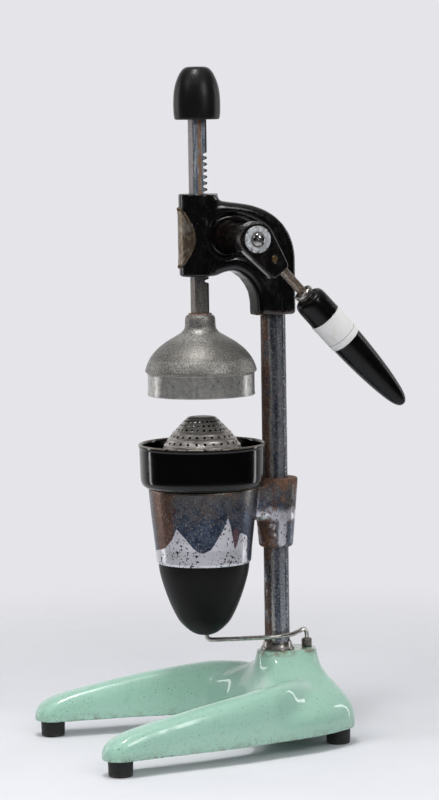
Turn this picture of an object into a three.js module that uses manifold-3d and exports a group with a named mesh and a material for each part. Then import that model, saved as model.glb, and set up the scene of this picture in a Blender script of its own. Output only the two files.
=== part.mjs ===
// Hand-lever citrus press: a horseshoe base with a chromed column, a bowl and funnel held beside the column, and a rack-and-pinion head that drives a bell down over a perforated cone.
// Units are millimetres, +Z is up, the open side of the horseshoe faces -Y and the lever is on the +X side.
// Heights are measured from the table. Y is written from the column's axis and the whole group is moved at the end, so that the origin is under the middle of the object's box.
import * as THREE from "three";
import { mergeVertices } from "three/addons/utils/BufferGeometryUtils.js";
import Module from "manifold-3d";

const wasm = await Module();
wasm.setup();

// ---- driving dimensions ----
const GAP = 0.3; // free space between pieces that touch
const SEG = 28; // facets round a large turned piece

// base
const FOOT_HEIGHT = 15.7;
const BASE_BOTTOM = FOOT_HEIGHT + GAP;
const BASE_TOP = 91.5;
const FRONT_FOOT = [107.5, -207];
const REAR_FOOT = [50, 45];
const LEG_NOSE_R = 18.5;
const POST_R = 20; // half width of the stadium-shaped post
const POST_Y = [-1.7, 22.4]; // centres of the stadium's two ends
const NUT_POCKET_TOP = 72;

// column
const COLUMN_R = 12.7; // 1 inch tube
const COLUMN_WALL = 2.1;
const COLUMN_BORE_R = COLUMN_R + GAP;
const COLUMN_BOTTOM = 58;
const COLUMN_TOP = 469.7;

// press axis
const PRESS_Y = -78.1; // from the column's axis to the rack's axis

// holder, funnel, bowl and cone
const HOLDER_TOP = 262;
const HOLDER_BOTTOM = 186;
const BOSS_TOP = 267.4;
const BOSS_BOTTOM = 196.8;
const BOSS_TOP_R = 23;
const BOSS_BOTTOM_R = 17.3;
const BOWL_RIM_Z = 306.6;
const BOWL_R = 64;
const SPOUT_Z = 112.6;
const SPOUT_R = 6;
const CONE_TOP_Z = 333.2;
const CONE_HOLE_R = 1.2;

// bell and rack
const BELL_RIM_Z = 355;
const BELL_NECK_Z = 436.9;
const BELL_R = 55.9;
const RACK_W = 15; // square bar
const RACK_CHAMFER = 0.9;
const RACK_BOTTOM = BELL_NECK_Z + GAP;
const RACK_TOP = 655;
const MODULE_MM = 2; // gear module of rack and pinion
const PINION_TEETH = 22;
const PINION_PITCH_R = (MODULE_MM * PINION_TEETH) / 2;
const RACK_TEETH = 21;
const RACK_GAPS_BELOW = 7; // tooth gaps below the pinion's axis at rest
const BACKLASH = 0.12; // taken off each flank of the pinion's teeth
const CAP_BOTTOM = 629.5;
const CAP_TOP = 681.9;

// head
const GUIDE_R = 20;
const GUIDE_BOTTOM = 473.6;
const GUIDE_TOP = 556.1;
const SOCKET_R = 20;
const SOCKET_BOTTOM = 432.3;
const HEAD_HALF = 18; // half thickness of the head's arm
const SHAFT_BOSS_R = 14;
const SHAFT_BOSS_END = 76;
const SHAFT_R = 8;
const CHAMBER_R = 24.8;
const COVER_R = 31;
const COVER_FACE = -21; // far face of the pad that the gear cover sits on

// lever
const PINION_Z = 513;
const PINION_Y = PRESS_Y + RACK_W / 2 - MODULE_MM + PINION_PITCH_R;
const LEVER_X = [76.4, 90.2]; // the two faces of the hub
const LEVER_MID = (LEVER_X[0] + LEVER_X[1]) / 2;
const LEVER_DROP_DEG = 47.2; // the handle hangs this far below level at rest
const HUB_R = 17.6;
const HUB_END = 42; // along the hub, from the pinion's axis
const HUB_END_HALF = 11;
const HUB_TILT_DEG = 5.5; // the hub's middle line hangs this much lower than the rod
const ROD_R = 4.7;
const ROD_START = 18.6;
const GRIP_START = 80;
const GRIP_END = 230;
const GRIP_R = 16.4;

// drip wire
const WIRE_R = 2.3;
const WIRE_PIVOT = [3, 31];

// ---- small helpers ----
const rad = (d) => (d * Math.PI) / 180;
const V3 = (x, y, z) => new THREE.Vector3(x, y, z);
const V2 = (x, y) => new THREE.Vector2(x, y);

// A closed solid from a geometry, turned outwards if it came inside out.
function solid(geometry) {
  const bare = new THREE.BufferGeometry().setAttribute(
    "position",
    geometry.getAttribute("position").clone(),
  );
  if (geometry.index) bare.setIndex(geometry.index.clone());
  const g = mergeVertices(bare, 1e-4);
  const make = (flip) => {
    const tri = [];
    const ix = g.index.array;
    for (let i = 0; i < ix.length; i += 3) {
      const [a, b, c] = [ix[i], ix[i + 1], ix[i + 2]];
      if (a === b || b === c || c === a) continue;
      if (flip) tri.push(a, c, b);
      else tri.push(a, b, c);
    }
    return new wasm.Manifold(
      new wasm.Mesh({
        numProp: 3,
        vertProperties: new Float32Array(g.attributes.position.array),
        triVerts: new Uint32Array(tri),
      }),
    );
  };
  const m = make(false);
  return m.volume() < 0 ? make(true) : m;
}

const all = (list) => list.reduce((a, b) => a.add(b));
const cut = (body, list) => list.reduce((a, b) => a.subtract(b), body);

// A turned piece about Z. The profile [r, z] starts and ends on the axis, or is closed on itself.
function turned(profile, closed = false, seg = SEG) {
  const pts = profile.map(([r, z]) => V2(r, z));
  if (closed) pts.push(V2(...profile[0]));
  const g = new THREE.LatheGeometry(pts, seg);
  g.rotateX(Math.PI / 2);
  return g;
}
const disc = (r, z0, z1, seg = SEG) =>
  turned([[0, z0], [r, z0], [r, z1], [0, z1]], false, seg);
const tubeRing = (r0, r1, z0, z1, seg = SEG) =>
  turned([[r0, z0], [r1, z0], [r1, z1], [r0, z1]], true, seg);
const at = (g, x, y, z = 0) => g.translate(x, y, z);
const alongX = (g) => g.rotateY(Math.PI / 2); // the piece's Z becomes X
const alongY = (g) => g.rotateX(-Math.PI / 2); // the piece's Z becomes Y

function block(x0, x1, y0, y1, z0, z1) {
  return new THREE.BoxGeometry(x1 - x0, y1 - y0, z1 - z0).translate(
    (x0 + x1) / 2,
    (y0 + y1) / 2,
    (z0 + z1) / 2,
  );
}

// A flat outline [[y, z], ...] drawn out along X.
function plateX(outline, x0, x1, holes = []) {
  const shape = new THREE.Shape(outline.map(([a, b]) => V2(a, b)));
  for (const h of holes) shape.holes.push(new THREE.Path(h.map(([a, b]) => V2(a, b))));
  const g = new THREE.ExtrudeGeometry(shape, { depth: x1 - x0, bevelEnabled: false });
  g.translate(0, 0, x0);
  g.applyMatrix4(
    new THREE.Matrix4().makeBasis(V3(0, 1, 0), V3(0, 0, 1), V3(1, 0, 0)),
  );
  return g;
}
// The same with its edges rounded by r: the outline shrinks towards both faces.
function roundedPlateX(outline, x0, x1, r, steps = 3) {
  const n = outline.length;
  const area = outline.reduce((s, [x, y], i) => {
    const [u, v] = outline[(i + 1) % n];
    return s + x * v - u * y;
  }, 0);
  const dir = area > 0 ? 1 : -1;
  const inset = (d) =>
    outline.map(([x, y], i) => {
      const [px, py] = outline[(i + n - 1) % n];
      const [qx, qy] = outline[(i + 1) % n];
      const a = V2(x - px, y - py).normalize();
      const b = V2(qx - x, qy - y).normalize();
      const m = V2(-(a.y + b.y), a.x + b.x).normalize().multiplyScalar(dir);
      const k = Math.max(0.5, m.x * -a.y * dir + m.y * a.x * dir);
      return [x + (m.x * d) / k, y + (m.y * d) / k];
    });
  const rows = [];
  for (let i = 0; i <= steps; i++) {
    const t = (i / steps) * (Math.PI / 2);
    rows.push([x0 + r * (1 - Math.sin(t)), r * (1 - Math.cos(t))]);
  }
  rows.reverse();
  const back = rows.map(([x, d]) => [x0 + x1 - x, d]).reverse();
  const all_rows = [...rows, ...back].map(([x, d]) => inset(d).map(([y, z]) => [x, y, z]));
  const pos = all_rows.flat(2);
  const idx = [];
  for (let k = 0; k + 1 < all_rows.length; k++)
    for (let i = 0; i < n; i++) {
      const a = k * n + i;
      const b = k * n + ((i + 1) % n);
      idx.push(a, b, b + n, a, b + n, a + n);
    }
  const lid = THREE.ShapeUtils.triangulateShape(all_rows[0].map((p) => V2(p[1], p[2])), []);
  const last = (all_rows.length - 1) * n;
  for (const [p, q, s] of lid) {
    const flip = dir > 0;
    idx.push(...(flip ? [p, s, q] : [p, q, s]));
    idx.push(...(flip ? [last + p, last + q, last + s] : [last + p, last + s, last + q]));
  }
  return new THREE.BufferGeometry()
    .setAttribute("position", new THREE.Float32BufferAttribute(pos, 3))
    .setIndex(idx);
}
// A flat outline [[x, y], ...] drawn out along Z.
function plateZ(outline, z0, z1) {
  const g = new THREE.ExtrudeGeometry(
    new THREE.Shape(outline.map(([a, b]) => V2(a, b))),
    { depth: z1 - z0, bevelEnabled: false },
  );
  return g.translate(0, 0, z0);
}
// A flat outline [[x, z], ...] drawn out along Y.
function plateY(outline, y0, y1) {
  const g = new THREE.ExtrudeGeometry(
    new THREE.Shape(outline.map(([a, b]) => V2(a, b))),
    { depth: y1 - y0, bevelEnabled: false },
  );
  g.applyMatrix4(
    new THREE.Matrix4().makeBasis(V3(1, 0, 0), V3(0, 0, 1), V3(0, -1, 0)),
  );
  return g.translate(0, y1, 0);
}
const ring = (n, r, phase = 0) =>
  Array.from({ length: n }, (_, i) => {
    const a = phase + (2 * Math.PI * i) / n;
    return [r * Math.cos(a), r * Math.sin(a)];
  });

// A skin over a row of closed sections with equal point counts, with both ends closed.
function loft(sections) {
  const n = sections[0].length;
  const pos = [];
  const idx = [];
  for (const s of sections) for (const p of s) pos.push(p[0], p[1], p[2]);
  for (let k = 0; k + 1 < sections.length; k++)
    for (let i = 0; i < n; i++) {
      const a = k * n + i;
      const b = k * n + ((i + 1) % n);
      idx.push(a, b, b + n, a, b + n, a + n);
    }
  for (const [k, flip] of [[0, true], [sections.length - 1, false]]) {
    const c = sections[k].reduce(
      (s, p) => [s[0] + p[0] / n, s[1] + p[1] / n, s[2] + p[2] / n],
      [0, 0, 0],
    );
    pos.push(...c);
    const ci = pos.length / 3 - 1;
    for (let i = 0; i < n; i++) {
      const a = k * n + i;
      const b = k * n + ((i + 1) % n);
      if (flip) idx.push(ci, b, a);
      else idx.push(ci, a, b);
    }
  }
  return new THREE.BufferGeometry()
    .setAttribute("position", new THREE.Float32BufferAttribute(pos, 3))
    .setIndex(idx);
}

// A round wire of radius r along a smooth line of points.
function wire(points, r, steps, seg = 12) {
  const shape = new THREE.Shape(ring(seg, r).map(([a, b]) => V2(a, b)));
  return new THREE.ExtrudeGeometry(shape, {
    steps,
    bevelEnabled: false,
    extrudePath: new THREE.CatmullRomCurve3(
      points.map((p) => V3(...p)),
      false,
      "centripetal",
    ),
  });
}

// Table lookup with straight lines between entries.
function lookup(table, x) {
  if (x <= table[0][0]) return table[0][1];
  for (let i = 1; i < table.length; i++)
    if (x <= table[i][0]) {
      const [x0, y0] = table[i - 1];
      const [x1, y1] = table[i];
      return y0 + ((y1 - y0) * (x - x0)) / (x1 - x0);
    }
  return table[table.length - 1][1];
}

const group = new THREE.Group();
group.name = "citrus_press";
function add(name, body, color, roughness, metalness) {
  const m = body instanceof THREE.BufferGeometry ? solid(body) : body;
  const out = m.getMesh();
  const n = out.numProp;
  const pos = new Float32Array(out.numVert * 3);
  for (let i = 0; i < out.numVert; i++)
    pos.set(out.vertProperties.subarray(i * n, i * n + 3), i * 3);
  const g = new THREE.BufferGeometry()
    .setAttribute("position", new THREE.BufferAttribute(pos, 3))
    .setIndex(new THREE.BufferAttribute(new Uint32Array(out.triVerts), 1));
  g.computeVertexNormals();
  const mesh = new THREE.Mesh(
    g,
    new THREE.MeshStandardMaterial({ color, roughness, metalness }),
  );
  mesh.name = name;
  group.add(mesh);
  return m;
}

const MINT = [0x9ec8b4, 0.25, 0.0];
const RUBBER = [0x101011, 0.75, 0.0];
const CHROME = [0x8f9298, 0.22, 1.0];
const ENAMEL = [0x07080a, 0.12, 0.0];
const MATTE_BLACK = [0x0c0c0d, 0.45, 0.0];
const CASTING = [0x77756f, 0.42, 1.0];
const STAINLESS = [0x9a9a98, 0.28, 1.0];
const STEEL = [0x6f6b66, 0.4, 1.0];
const ZINC = [0x9aa0a2, 0.42, 1.0];
const BRASS = [0x8d7a55, 0.45, 1.0];
const PAPER = [0xe8e8e6, 0.7, 0.0];

// ---- base casting ----
// Each leg is a rounded bar that grows from its nose to the body.
const LEG_TOP = [
  [-225.5, 24], [-222, 29.5], [-217, 34.5], [-208, 39.5], [-195, 43.6], [-165, 50], [-140, 54.6],
  [-118, 58.6], [-86, 63.6], [-61, 67.5], [-30, 71], [0, 70], [25, 62], [40, 54],
];
const LEG_MID = [
  [-226, 107.5], [-207, 107.5], [-166, 103], [-113, 97.5], [-72, 90], [-39, 80], [-10, 62], [20, 34], [40, 20],
];
const LEG_HALF = [
  [-207, 18.5], [-180, 17.4], [-150, 16.8], [-113, 17], [-72, 18.6], [-39, 21], [-10, 24], [20, 25], [40, 20],
];
function legSection(y, side, shrinkW = 0, shrinkH = 0, floor = BASE_BOTTOM, n = 16) {
  let half = lookup(LEG_HALF, y);
  const nose = FRONT_FOOT[1] - LEG_NOSE_R;
  let squeeze = 1;
  if (y < FRONT_FOOT[1]) {
    const t = (FRONT_FOOT[1] - y) / LEG_NOSE_R;
    squeeze = Math.sqrt(Math.max(0.004, 1 - t * t));
    half = LEG_NOSE_R * squeeze;
  }
  half -= shrinkW;
  const top = Math.max(
    floor + 4,
    (y < nose + 0.2 ? 22 : lookup(LEG_TOP, y)) - shrinkH,
  );
  const mid = lookup(LEG_MID, y);
  const h = top - floor;
  const pts = [];
  for (let i = 0; i < n; i++) {
    // the flat underside takes the first two points, the arch the rest
    const a = (Math.PI * i) / (n - 1);
    const c = Math.cos(a);
    const s = Math.sin(a);
    const e = 2 / 2.9;
    const u = Math.sign(c) * Math.abs(c) ** e * half;
    const v = Math.abs(s) ** e * h;
    pts.push([side * (mid + u), y, floor + v]);
  }
  return side > 0 ? pts : pts.reverse();
}
function leg(side) {
  const ys = [
    -225.4, -224.4, -222, -218, -212, -205, -192, -172, -150, -130, -110, -90, -72, -55,
    -39, -16, 10,
  ];
  return solid(loft(ys.map((y) => legSection(y, side))));
}
function legPocket(side) {
  const ys = [-182, -150, -113, -72, -55];
  return solid(loft(ys.map((y) => legSection(y, side, 7.5, 9, BASE_BOTTOM - 6, 8))));
}

// The body rises from a broad outline with two rear corners into the post.
const BODY_FLARE = [
  [16, 0.0], [18, -0.012], [33, -0.012], [40, 0.05], [47, 0.16], [54, 0.315], [62, 0.525],
  [70, 0.735], [78, 0.88], [85, 0.965], [89.8, 1.0], [91.1, 1.02], [91.5, 1.06],
];
function bodyOutline() {
  // half outline at the bottom, from the middle of the rear edge round to the middle of the inner edge
  const half = [
    [0, 57], [26, 59.2], [44, 62.2], [52, 62], [60, 58.8], [67.5, 50.5],
    [80, 29], [90, 4], [97.5, -25], [101, -45], [92, -60], [78, -62.5],
    [60, -53.8], [38, -44.3], [18, -41.2], [0, -40.6],
  ];
  return half;
}
function postPoint(t) {
  // half outline of the stadium; t runs 0..1 from the rear middle to the front middle
  const arc = (Math.PI * POST_R) / 2;
  const flat = POST_Y[1] - POST_Y[0];
  const total = 2 * arc + flat;
  const s = t * total;
  if (s <= arc) {
    const a = Math.PI / 2 - s / POST_R;
    return [POST_R * Math.cos(a), POST_Y[1] + POST_R * Math.sin(a)];
  }
  if (s <= arc + flat) return [POST_R, POST_Y[1] - (s - arc)];
  const a = -(s - arc - flat) / POST_R;
  return [POST_R * Math.cos(a), POST_Y[0] + POST_R * Math.sin(a)];
}
function baseBody() {
  const half = bodyOutline();
  const m = half.length;
  // where each bottom point goes on the post: by its direction round the post
  const post = half.map((p, i) => {
    const ang = Math.atan2(p[0], p[1] - 10); // 0 at the rear, pi at the front
    return postPoint(Math.min(1, Math.max(0, ang / Math.PI)) * (i === 0 ? 0 : 1));
  });
  post[0] = postPoint(0);
  post[m - 1] = postPoint(1);
  const section = (z, f) => {
    const top = Math.max(0, (f - 1) / 0.06); // the last bit only rounds the post's upper edge
    const k = Math.min(1, f);
    const right = half.map((p, i) => {
      let x = p[0] + (post[i][0] - p[0]) * k;
      let y = p[1] + (post[i][1] - p[1]) * k;
      if (top > 0) {
        x *= 1 - 0.08 * top;
        y = 10.35 + (y - 10.35) * (1 - 0.05 * top);
      }
      return [x, y, z];
    });
    const left = right
      .slice(1, m - 1)
      .reverse()
      .map(([x, y]) => [-x, y, z]);
    return [...right, ...left];
  };
  return solid(loft(BODY_FLARE.map(([z, f]) => section(z, f))));
}

const footSpots = {
  front_near: [FRONT_FOOT[0], FRONT_FOOT[1]],
  front_far: [-FRONT_FOOT[0], FRONT_FOOT[1]],
  rear_near: [REAR_FOOT[0], REAR_FOOT[1]],
  rear_far: [-REAR_FOOT[0], REAR_FOOT[1]],
};
const base = cut(all([leg(1), leg(-1), baseBody()]), [
  legPocket(1),
  legPocket(-1),
  solid(
    turned([[0, 8], [30, 8], [28, 40], [24, 54], [18, 62], [18, NUT_POCKET_TOP], [0, NUT_POCKET_TOP]]),
  ),
  solid(disc(COLUMN_BORE_R, 50, BASE_TOP + 5)),
  solid(at(disc(WIRE_R + GAP, 79, BASE_TOP + 5, 24), ...WIRE_PIVOT)),
  ...Object.values(footSpots).map(([x, y]) => solid(at(disc(2.4, 5, 31, 12), x, y))),
]);
add("base_casting", base, ...MINT);

for (const [spot, [x, y]] of Object.entries(footSpots)) {
  add(
    "foot_" + spot,
    at(
      turned(
        [[5, 0], [11.2, 0], [11.7, 0.6], [12.4, FOOT_HEIGHT - 0.6], [12.0, FOOT_HEIGHT], [2.4, FOOT_HEIGHT], [2.4, 5.2], [5, 5.2]],
        true,
        16,
      ),
      x,
      y,
    ),
    ...RUBBER,
  );
  add(
    "foot_screw_" + spot,
    cut(
      solid(at(turned([[0, 1.6], [3, 1.6], [4.3, 2.8], [4.3, 4.9], [2, 4.9], [2, 29], [1.2, 30], [0, 30]], false, 12), x, y)),
      [solid(block(x - 5, x + 5, y - 0.5, y + 0.5, 0, 2.9))],
    ),
    ...STEEL,
  );
}

// ---- column ----
add(
  "column_tube",
  tubeRing(COLUMN_R - COLUMN_WALL, COLUMN_R, COLUMN_BOTTOM, COLUMN_TOP, 40),
  ...CHROME,
);
add(
  "column_collar",
  turned(
    [[13, BASE_TOP + GAP], [17.2, BASE_TOP + GAP], [17.0, 93.2], [15.2, 96.2], [14, 100], [13, 100]],
    true,
  ),
  ...CHROME,
);
add(
  "column_nut",
  cut(solid(plateZ(ring(6, 16.9), NUT_POCKET_TOP - GAP - 7.5, NUT_POCKET_TOP - GAP)), [
    solid(disc(COLUMN_BORE_R, 50, 80, 36)),
  ]),
  ...STEEL,
);

// ---- holder: a tapered ring with a boss that clamps on the column ----
const HOLDER_OUT = [
  [186, 47.1], [188, 47.7], [203, 48.8], [233, 52.2], [249, 53.7], [260.8, 54.7], [262, 54.2],
];
const holderInner = (z) => 46.15 + ((z - 186) * (51.8 - 46.15)) / 76;
const bossR = (z) =>
  BOSS_BOTTOM_R + ((z - BOSS_BOTTOM) * (BOSS_TOP_R - BOSS_BOTTOM_R)) / (BOSS_TOP - BOSS_BOTTOM);
const ringOuterSolid = solid(
  at(
    turned([[0, HOLDER_BOTTOM], ...HOLDER_OUT.map(([z, r]) => [r, z]), [0, HOLDER_TOP]], false, 48),
    0,
    PRESS_Y,
  ),
);
const bossSolid = solid(
  turned(
    [
      [0, BOSS_BOTTOM], [BOSS_BOTTOM_R - 2.6, BOSS_BOTTOM], [BOSS_BOTTOM_R - 0.6, BOSS_BOTTOM + 1],
      [BOSS_BOTTOM_R + 0.1, BOSS_BOTTOM + 3], [bossR(230), 230], [bossR(265), 265], [BOSS_TOP_R - 0.8, BOSS_TOP],
      [0, BOSS_TOP],
    ],
  ),
);
const webSolid = solid(
  loft(
    [
      [226, 9, 1], [230, 13.5, 1], [236, 15.5, 1], [250, 17.5, 1], [261.6, 18.5, 1],
    ].map(([z, w]) => [
      [w, -34, z], [w, -6, z], [-w, -6, z], [-w, -34, z],
    ]),
  ),
);
const bowlEnvelope = solid(
  at(
    turned([[0, HOLDER_TOP - 0.02], [54.6, HOLDER_TOP - 0.02], [58.4, 262.4], [61.2, 264.8], [63, 268], [63.4, 280], [0, 280]], false, 40),
    0,
    PRESS_Y,
  ),
);
const holder = cut(all([ringOuterSolid, bossSolid, webSolid]), [
  solid(
    at(
      turned([[0, 180], [holderInner(180), 180], [holderInner(270), 270], [0, 270]], false, 48),
      0,
      PRESS_Y,
    ),
  ),
  solid(disc(COLUMN_BORE_R, 190, 275, 36)),
  bowlEnvelope,
  solid(at(alongX(disc(3.3, -40, -10, 14)), 0, 0, 250)),
]);
add("funnel_holder", holder, ...CHROME);

function clampScrew(z, seat) {
  const head = alongX(
    turned([[0, COLUMN_R + GAP], [2.2, COLUMN_R + GAP], [3, COLUMN_R + GAP + 0.8], [3, seat], [6.2, seat], [6.2, seat + 2.6], [5.2, seat + 3.8], [0, seat + 4.2]], false, 16),
  ).rotateZ(Math.PI);
  return cut(solid(at(head, 0, 0, z)), [solid(block(-seat - 6, -seat - 2.4, -8, 8, z - 0.6, z + 0.6))]);
}
add("holder_screw", clampScrew(250, bossR(257) + GAP), ...STEEL);

// ---- lower funnel, bowl and cone ----
const FUNNEL_OUT = [
  [112.6, 8], [114.6, 12.6], [119.6, 19.2], [126.2, 25.4], [134.4, 30.1], [144.6, 34.7],
  [156, 38.95], [167.1, 42.4], [177, 44.8], [186, 45.8], [246, holderInner(246) - 0.5],
];
const FUNNEL_IN = [
  [246, holderInner(246) - 2.8], [186, 43.4], [177, 42.3], [167.1, 39.8], [156, 36.2], [144.6, 31.9],
  [134.4, 27], [126.4, 21.6], [120.4, 15], [117.2, 9], [116, SPOUT_R],
];
add(
  "lower_funnel",
  at(
    turned(
      [[SPOUT_R, SPOUT_Z], ...FUNNEL_OUT.map(([z, r]) => [r, z]), ...FUNNEL_IN.map(([z, r]) => [r, z])],
      true,
    ),
    0,
    PRESS_Y,
  ),
  ...MATTE_BLACK,
);

add(
  "catch_bowl",
  at(
    turned(
      [
        [15, 262.7], [47.4, 262.7], [47.4, 252.5], [50.2, 252.5], [50.2, HOLDER_TOP + GAP], [54.2, HOLDER_TOP + GAP],
        [58.4, 263.6], [61.4, 267.2], [62.5, 272.2], [63.3, 302.2], [BOWL_R, 304.6],
        [63.3, BOWL_RIM_Z], [61.4, BOWL_RIM_Z], [60.4, 303], [60.1, 270.9],
        [56.4, 270.9], [54.6, 266.6], [50, 265.7], [15, 265.7],
      ],
      true,
      36,
    ),
    0,
    PRESS_Y,
  ),
  ...ENAMEL,
);

// The cone's outer skin: a flat crown, a straight flank, then a steep skirt with a flange.
const CONE_OUT = [
  [CONE_TOP_Z, 11.2], [331.8, 15.2], [328.9, 17.9], [321, 25.6], [312.7, 32.7], [302.7, 39],
  [292, 43], [279, 45.4], [272.3, 46.4], [272.2, 59.4],
];
const CONE_IN = [
  [271.2, 59.4], [271.2, 45.4], [279, 44.3], [291.8, 42], [302.2, 38.1], [312, 31.9], [320.3, 24.9],
  [328.1, 17.2], [330.8, 14.6], [CONE_TOP_Z - 1, 10.9],
];
let cone = solid(
  turned(
    [[0, CONE_TOP_Z], ...CONE_OUT.map(([z, r]) => [r, z]), ...CONE_IN.map(([z, r]) => [r, z]), [0, CONE_TOP_Z - 1]],
    false,
    28,
  ),
);
const CONE_ROWS = [
  [325.4, 12], [318.2, 14], [310.2, 14], [301.4, 16],
];
const coneFlank = [...CONE_OUT].sort((a, b) => a[0] - b[0]);
const holes = [];
CONE_ROWS.forEach(([z, n], row) => {
  const r = lookup(coneFlank, z);
  const slope = Math.atan2(
    lookup(coneFlank, z - 2) - lookup(coneFlank, z + 2),
    4,
  ); // 0 on an upright wall
  for (let i = 0; i < n; i++) {
    const g = disc(CONE_HOLE_R, -2.4, 2.4, 4);
    g.rotateY(Math.PI / 2 - slope);
    g.translate(r, 0, z);
    g.rotateZ((2 * Math.PI * (i + (row % 2) / 2)) / n);
    holes.push(solid(g));
  }
});
cone = cut(cone, [all(holes)]);
cone = cone.translate([0, PRESS_Y, 0]);
add("strainer_cone", cone, ...STAINLESS);

// ---- drip wire ----
add(
  "wire_collar",
  at(
    turned(
      [[WIRE_R + GAP, BASE_TOP + GAP], [5.3, BASE_TOP + GAP], [5.3, 99.6], [4.4, 100.8], [WIRE_R + GAP, 100.8]],
      true,
      24,
    ),
    ...WIRE_PIVOT,
  ),
  ...STEEL,
);
const [wx, wy] = WIRE_PIVOT;
const wireLine = [
  [wx, wy, 80], [wx, wy, 92], [wx, wy, 104], [wx + 0.3, wy - 0.8, 108.2], [wx + 2.4, wy - 4.2, 110.4],
  [wx + 8, wy - 12, 109.6], [15.6, 9, 107.8], [17.6, -4, 107.2], [16.2, -20, 107], [9.6, -46, 106.6],
  [3.6, -67, 106.4], [2.2, -72, 106.5], [1.0, -75.2, 107.6], [0.6, -76.4, 109.4], [0.5, -76.7, 111.4],
];
add("drip_wire", wire(wireLine, WIRE_R, 34, 9), ...STAINLESS);

// ---- head casting ----
const ARM = [
  [-74, 549], [-57, 548.6], [-50.4, 547.6], [-40.7, 546.3], [-31.1, 544.8], [-23, 543], [-12, 539], [-1.5, 532.6],
  [7.4, 524.4], [14, 514.6], [18.2, 503.6], [20, 493], [20, SOCKET_BOTTOM], [-19.6, SOCKET_BOTTOM], [-20.2, 446], [-21.8, 455], [-25.4, 462.4],
  [-31, 470], [-39.4, 476], [-46.6, 478.4], [-53, 478], [-61, 475.5], [-74, 475],
];
const POCKET = [
  [-73.6, 516], [-69.5, 526], [-62, 533.2], [-51, 536.2], [-39, 534.6], [-28, 530.6], [-17, 524], [-7, 514],
  [-1, 503], [1.5, 490], [-1, 478.6], [-8, 473.4], [-15, 476.8], [-24, 485], [-34, 491.6], [-45, 494.2],
  [-56, 491.8], [-66, 494.8], [-72.6, 503],
];
const headBody = all([
  solid(
    at(
      turned(
        [[0, GUIDE_BOTTOM], [GUIDE_R - 1.6, GUIDE_BOTTOM], [GUIDE_R, GUIDE_BOTTOM + 1.8], [GUIDE_R, GUIDE_TOP - 0.8], [GUIDE_R - 0.8, GUIDE_TOP], [0, GUIDE_TOP]],
      ),
      0,
      PRESS_Y,
    ),
  ),
  solid(
    turned([[0, SOCKET_BOTTOM], [SOCKET_R - 1.4, SOCKET_BOTTOM], [SOCKET_R, SOCKET_BOTTOM + 1.6], [SOCKET_R, 492], [SOCKET_R - 3, 499], [SOCKET_R - 9, 503], [0, 504]]),
  ),
  solid(roundedPlateX(ARM, -HEAD_HALF, HEAD_HALF, 6)),
  solid(at(alongX(disc(COVER_R, COVER_FACE, 0)), 0, PINION_Y, PINION_Z)),
]);
const pocketed = headBody.subtract(solid(plateX(POCKET, 9.6, 40)));
const head = cut(
  all([
    pocketed,
    solid(
      at(
        alongX(
          turned([[0, 6], [21, 6], [21, 9.6], [18, 11], [15.8, 14], [14.6, 18], [SHAFT_BOSS_R, 24], [SHAFT_BOSS_R, SHAFT_BOSS_END - 1.2], [SHAFT_BOSS_R - 1.2, SHAFT_BOSS_END], [0, SHAFT_BOSS_END]]),
        ),
        0,
        PINION_Y,
        PINION_Z,
      ),
    ),
  ]),
  [
    solid(block(-7.85, 7.85, PRESS_Y - 7.85, PRESS_Y + 7.85, GUIDE_BOTTOM - 5, GUIDE_TOP + 5)),
    solid(at(alongX(disc(CHAMBER_R, -40, 6.8)), 0, PINION_Y, PINION_Z)),
    solid(at(alongX(disc(SHAFT_R + GAP, 0, 90, 24)), 0, PINION_Y, PINION_Z)),
    solid(at(alongX(disc(11.2, 56, 90, 24)), 0, PINION_Y, PINION_Z)),
    solid(disc(COLUMN_BORE_R, 400, COLUMN_TOP + 1, 36)),
    solid(at(alongX(disc(3.3, -40, -10, 14)), 0, 0, 452)),
    ...[PINION_Z + 28.0, PINION_Z - 28.0].map((z) =>
      solid(at(alongX(disc(1.8, COVER_FACE - 5, -11, 14)), 0, PINION_Y, z)),
    ),
    solid(at(alongX(disc(1.8, COVER_FACE - 5, -11, 14)), 0, PINION_Y + 28.0, PINION_Z)),
    ...[541, 484].map((z) =>
      solid(at(alongY(disc(1.4, -GUIDE_R - 4, -GUIDE_R + 6, 14)), 0, PRESS_Y, z)),
    ),
  ],
);
add("head_casting", head, ...ENAMEL);
add("head_screw", clampScrew(452, SOCKET_R + GAP), ...STEEL);

// gear cover on the far side, with its screws
add(
  "gear_cover",
  cut(solid(at(alongX(turned([[0, COVER_FACE - GAP - 3], [COVER_R - 1, COVER_FACE - GAP - 3], [COVER_R, COVER_FACE - GAP - 2], [COVER_R, COVER_FACE - GAP], [0, COVER_FACE - GAP]])), 0, PINION_Y, PINION_Z)), [
    solid(at(alongX(disc(SHAFT_R + GAP, -40, 0, 24)), 0, PINION_Y, PINION_Z)),
    ...[[0, 28], [0, -28], [28, 0]].map(([dy, dz]) =>
      solid(at(alongX(disc(1.8, -40, 0, 14)), 0, PINION_Y + dy, PINION_Z + dz)),
    ),
  ]),
  ...ENAMEL,
);
[[0, 28], [0, -28], [28, 0]].forEach(([dy, dz], i) => {
  const f = COVER_FACE - 2 * GAP - 3;
  add(
    "cover_screw_" + (i + 1),
    cut(
      solid(at(alongX(turned([[0, f - 2.2], [1.8, f - 1.9], [3, f - 0.8], [3, f], [1.5, f], [1.5, -12], [0, -12]], false, 14)), 0, PINION_Y + dy, PINION_Z + dz)),
      [solid(block(f - 4, f - 1.2, PINION_Y + dy - 0.4, PINION_Y + dy + 0.4, PINION_Z + dz - 4, PINION_Z + dz + 4))],
    ),
    ...STEEL,
  );
});

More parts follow.
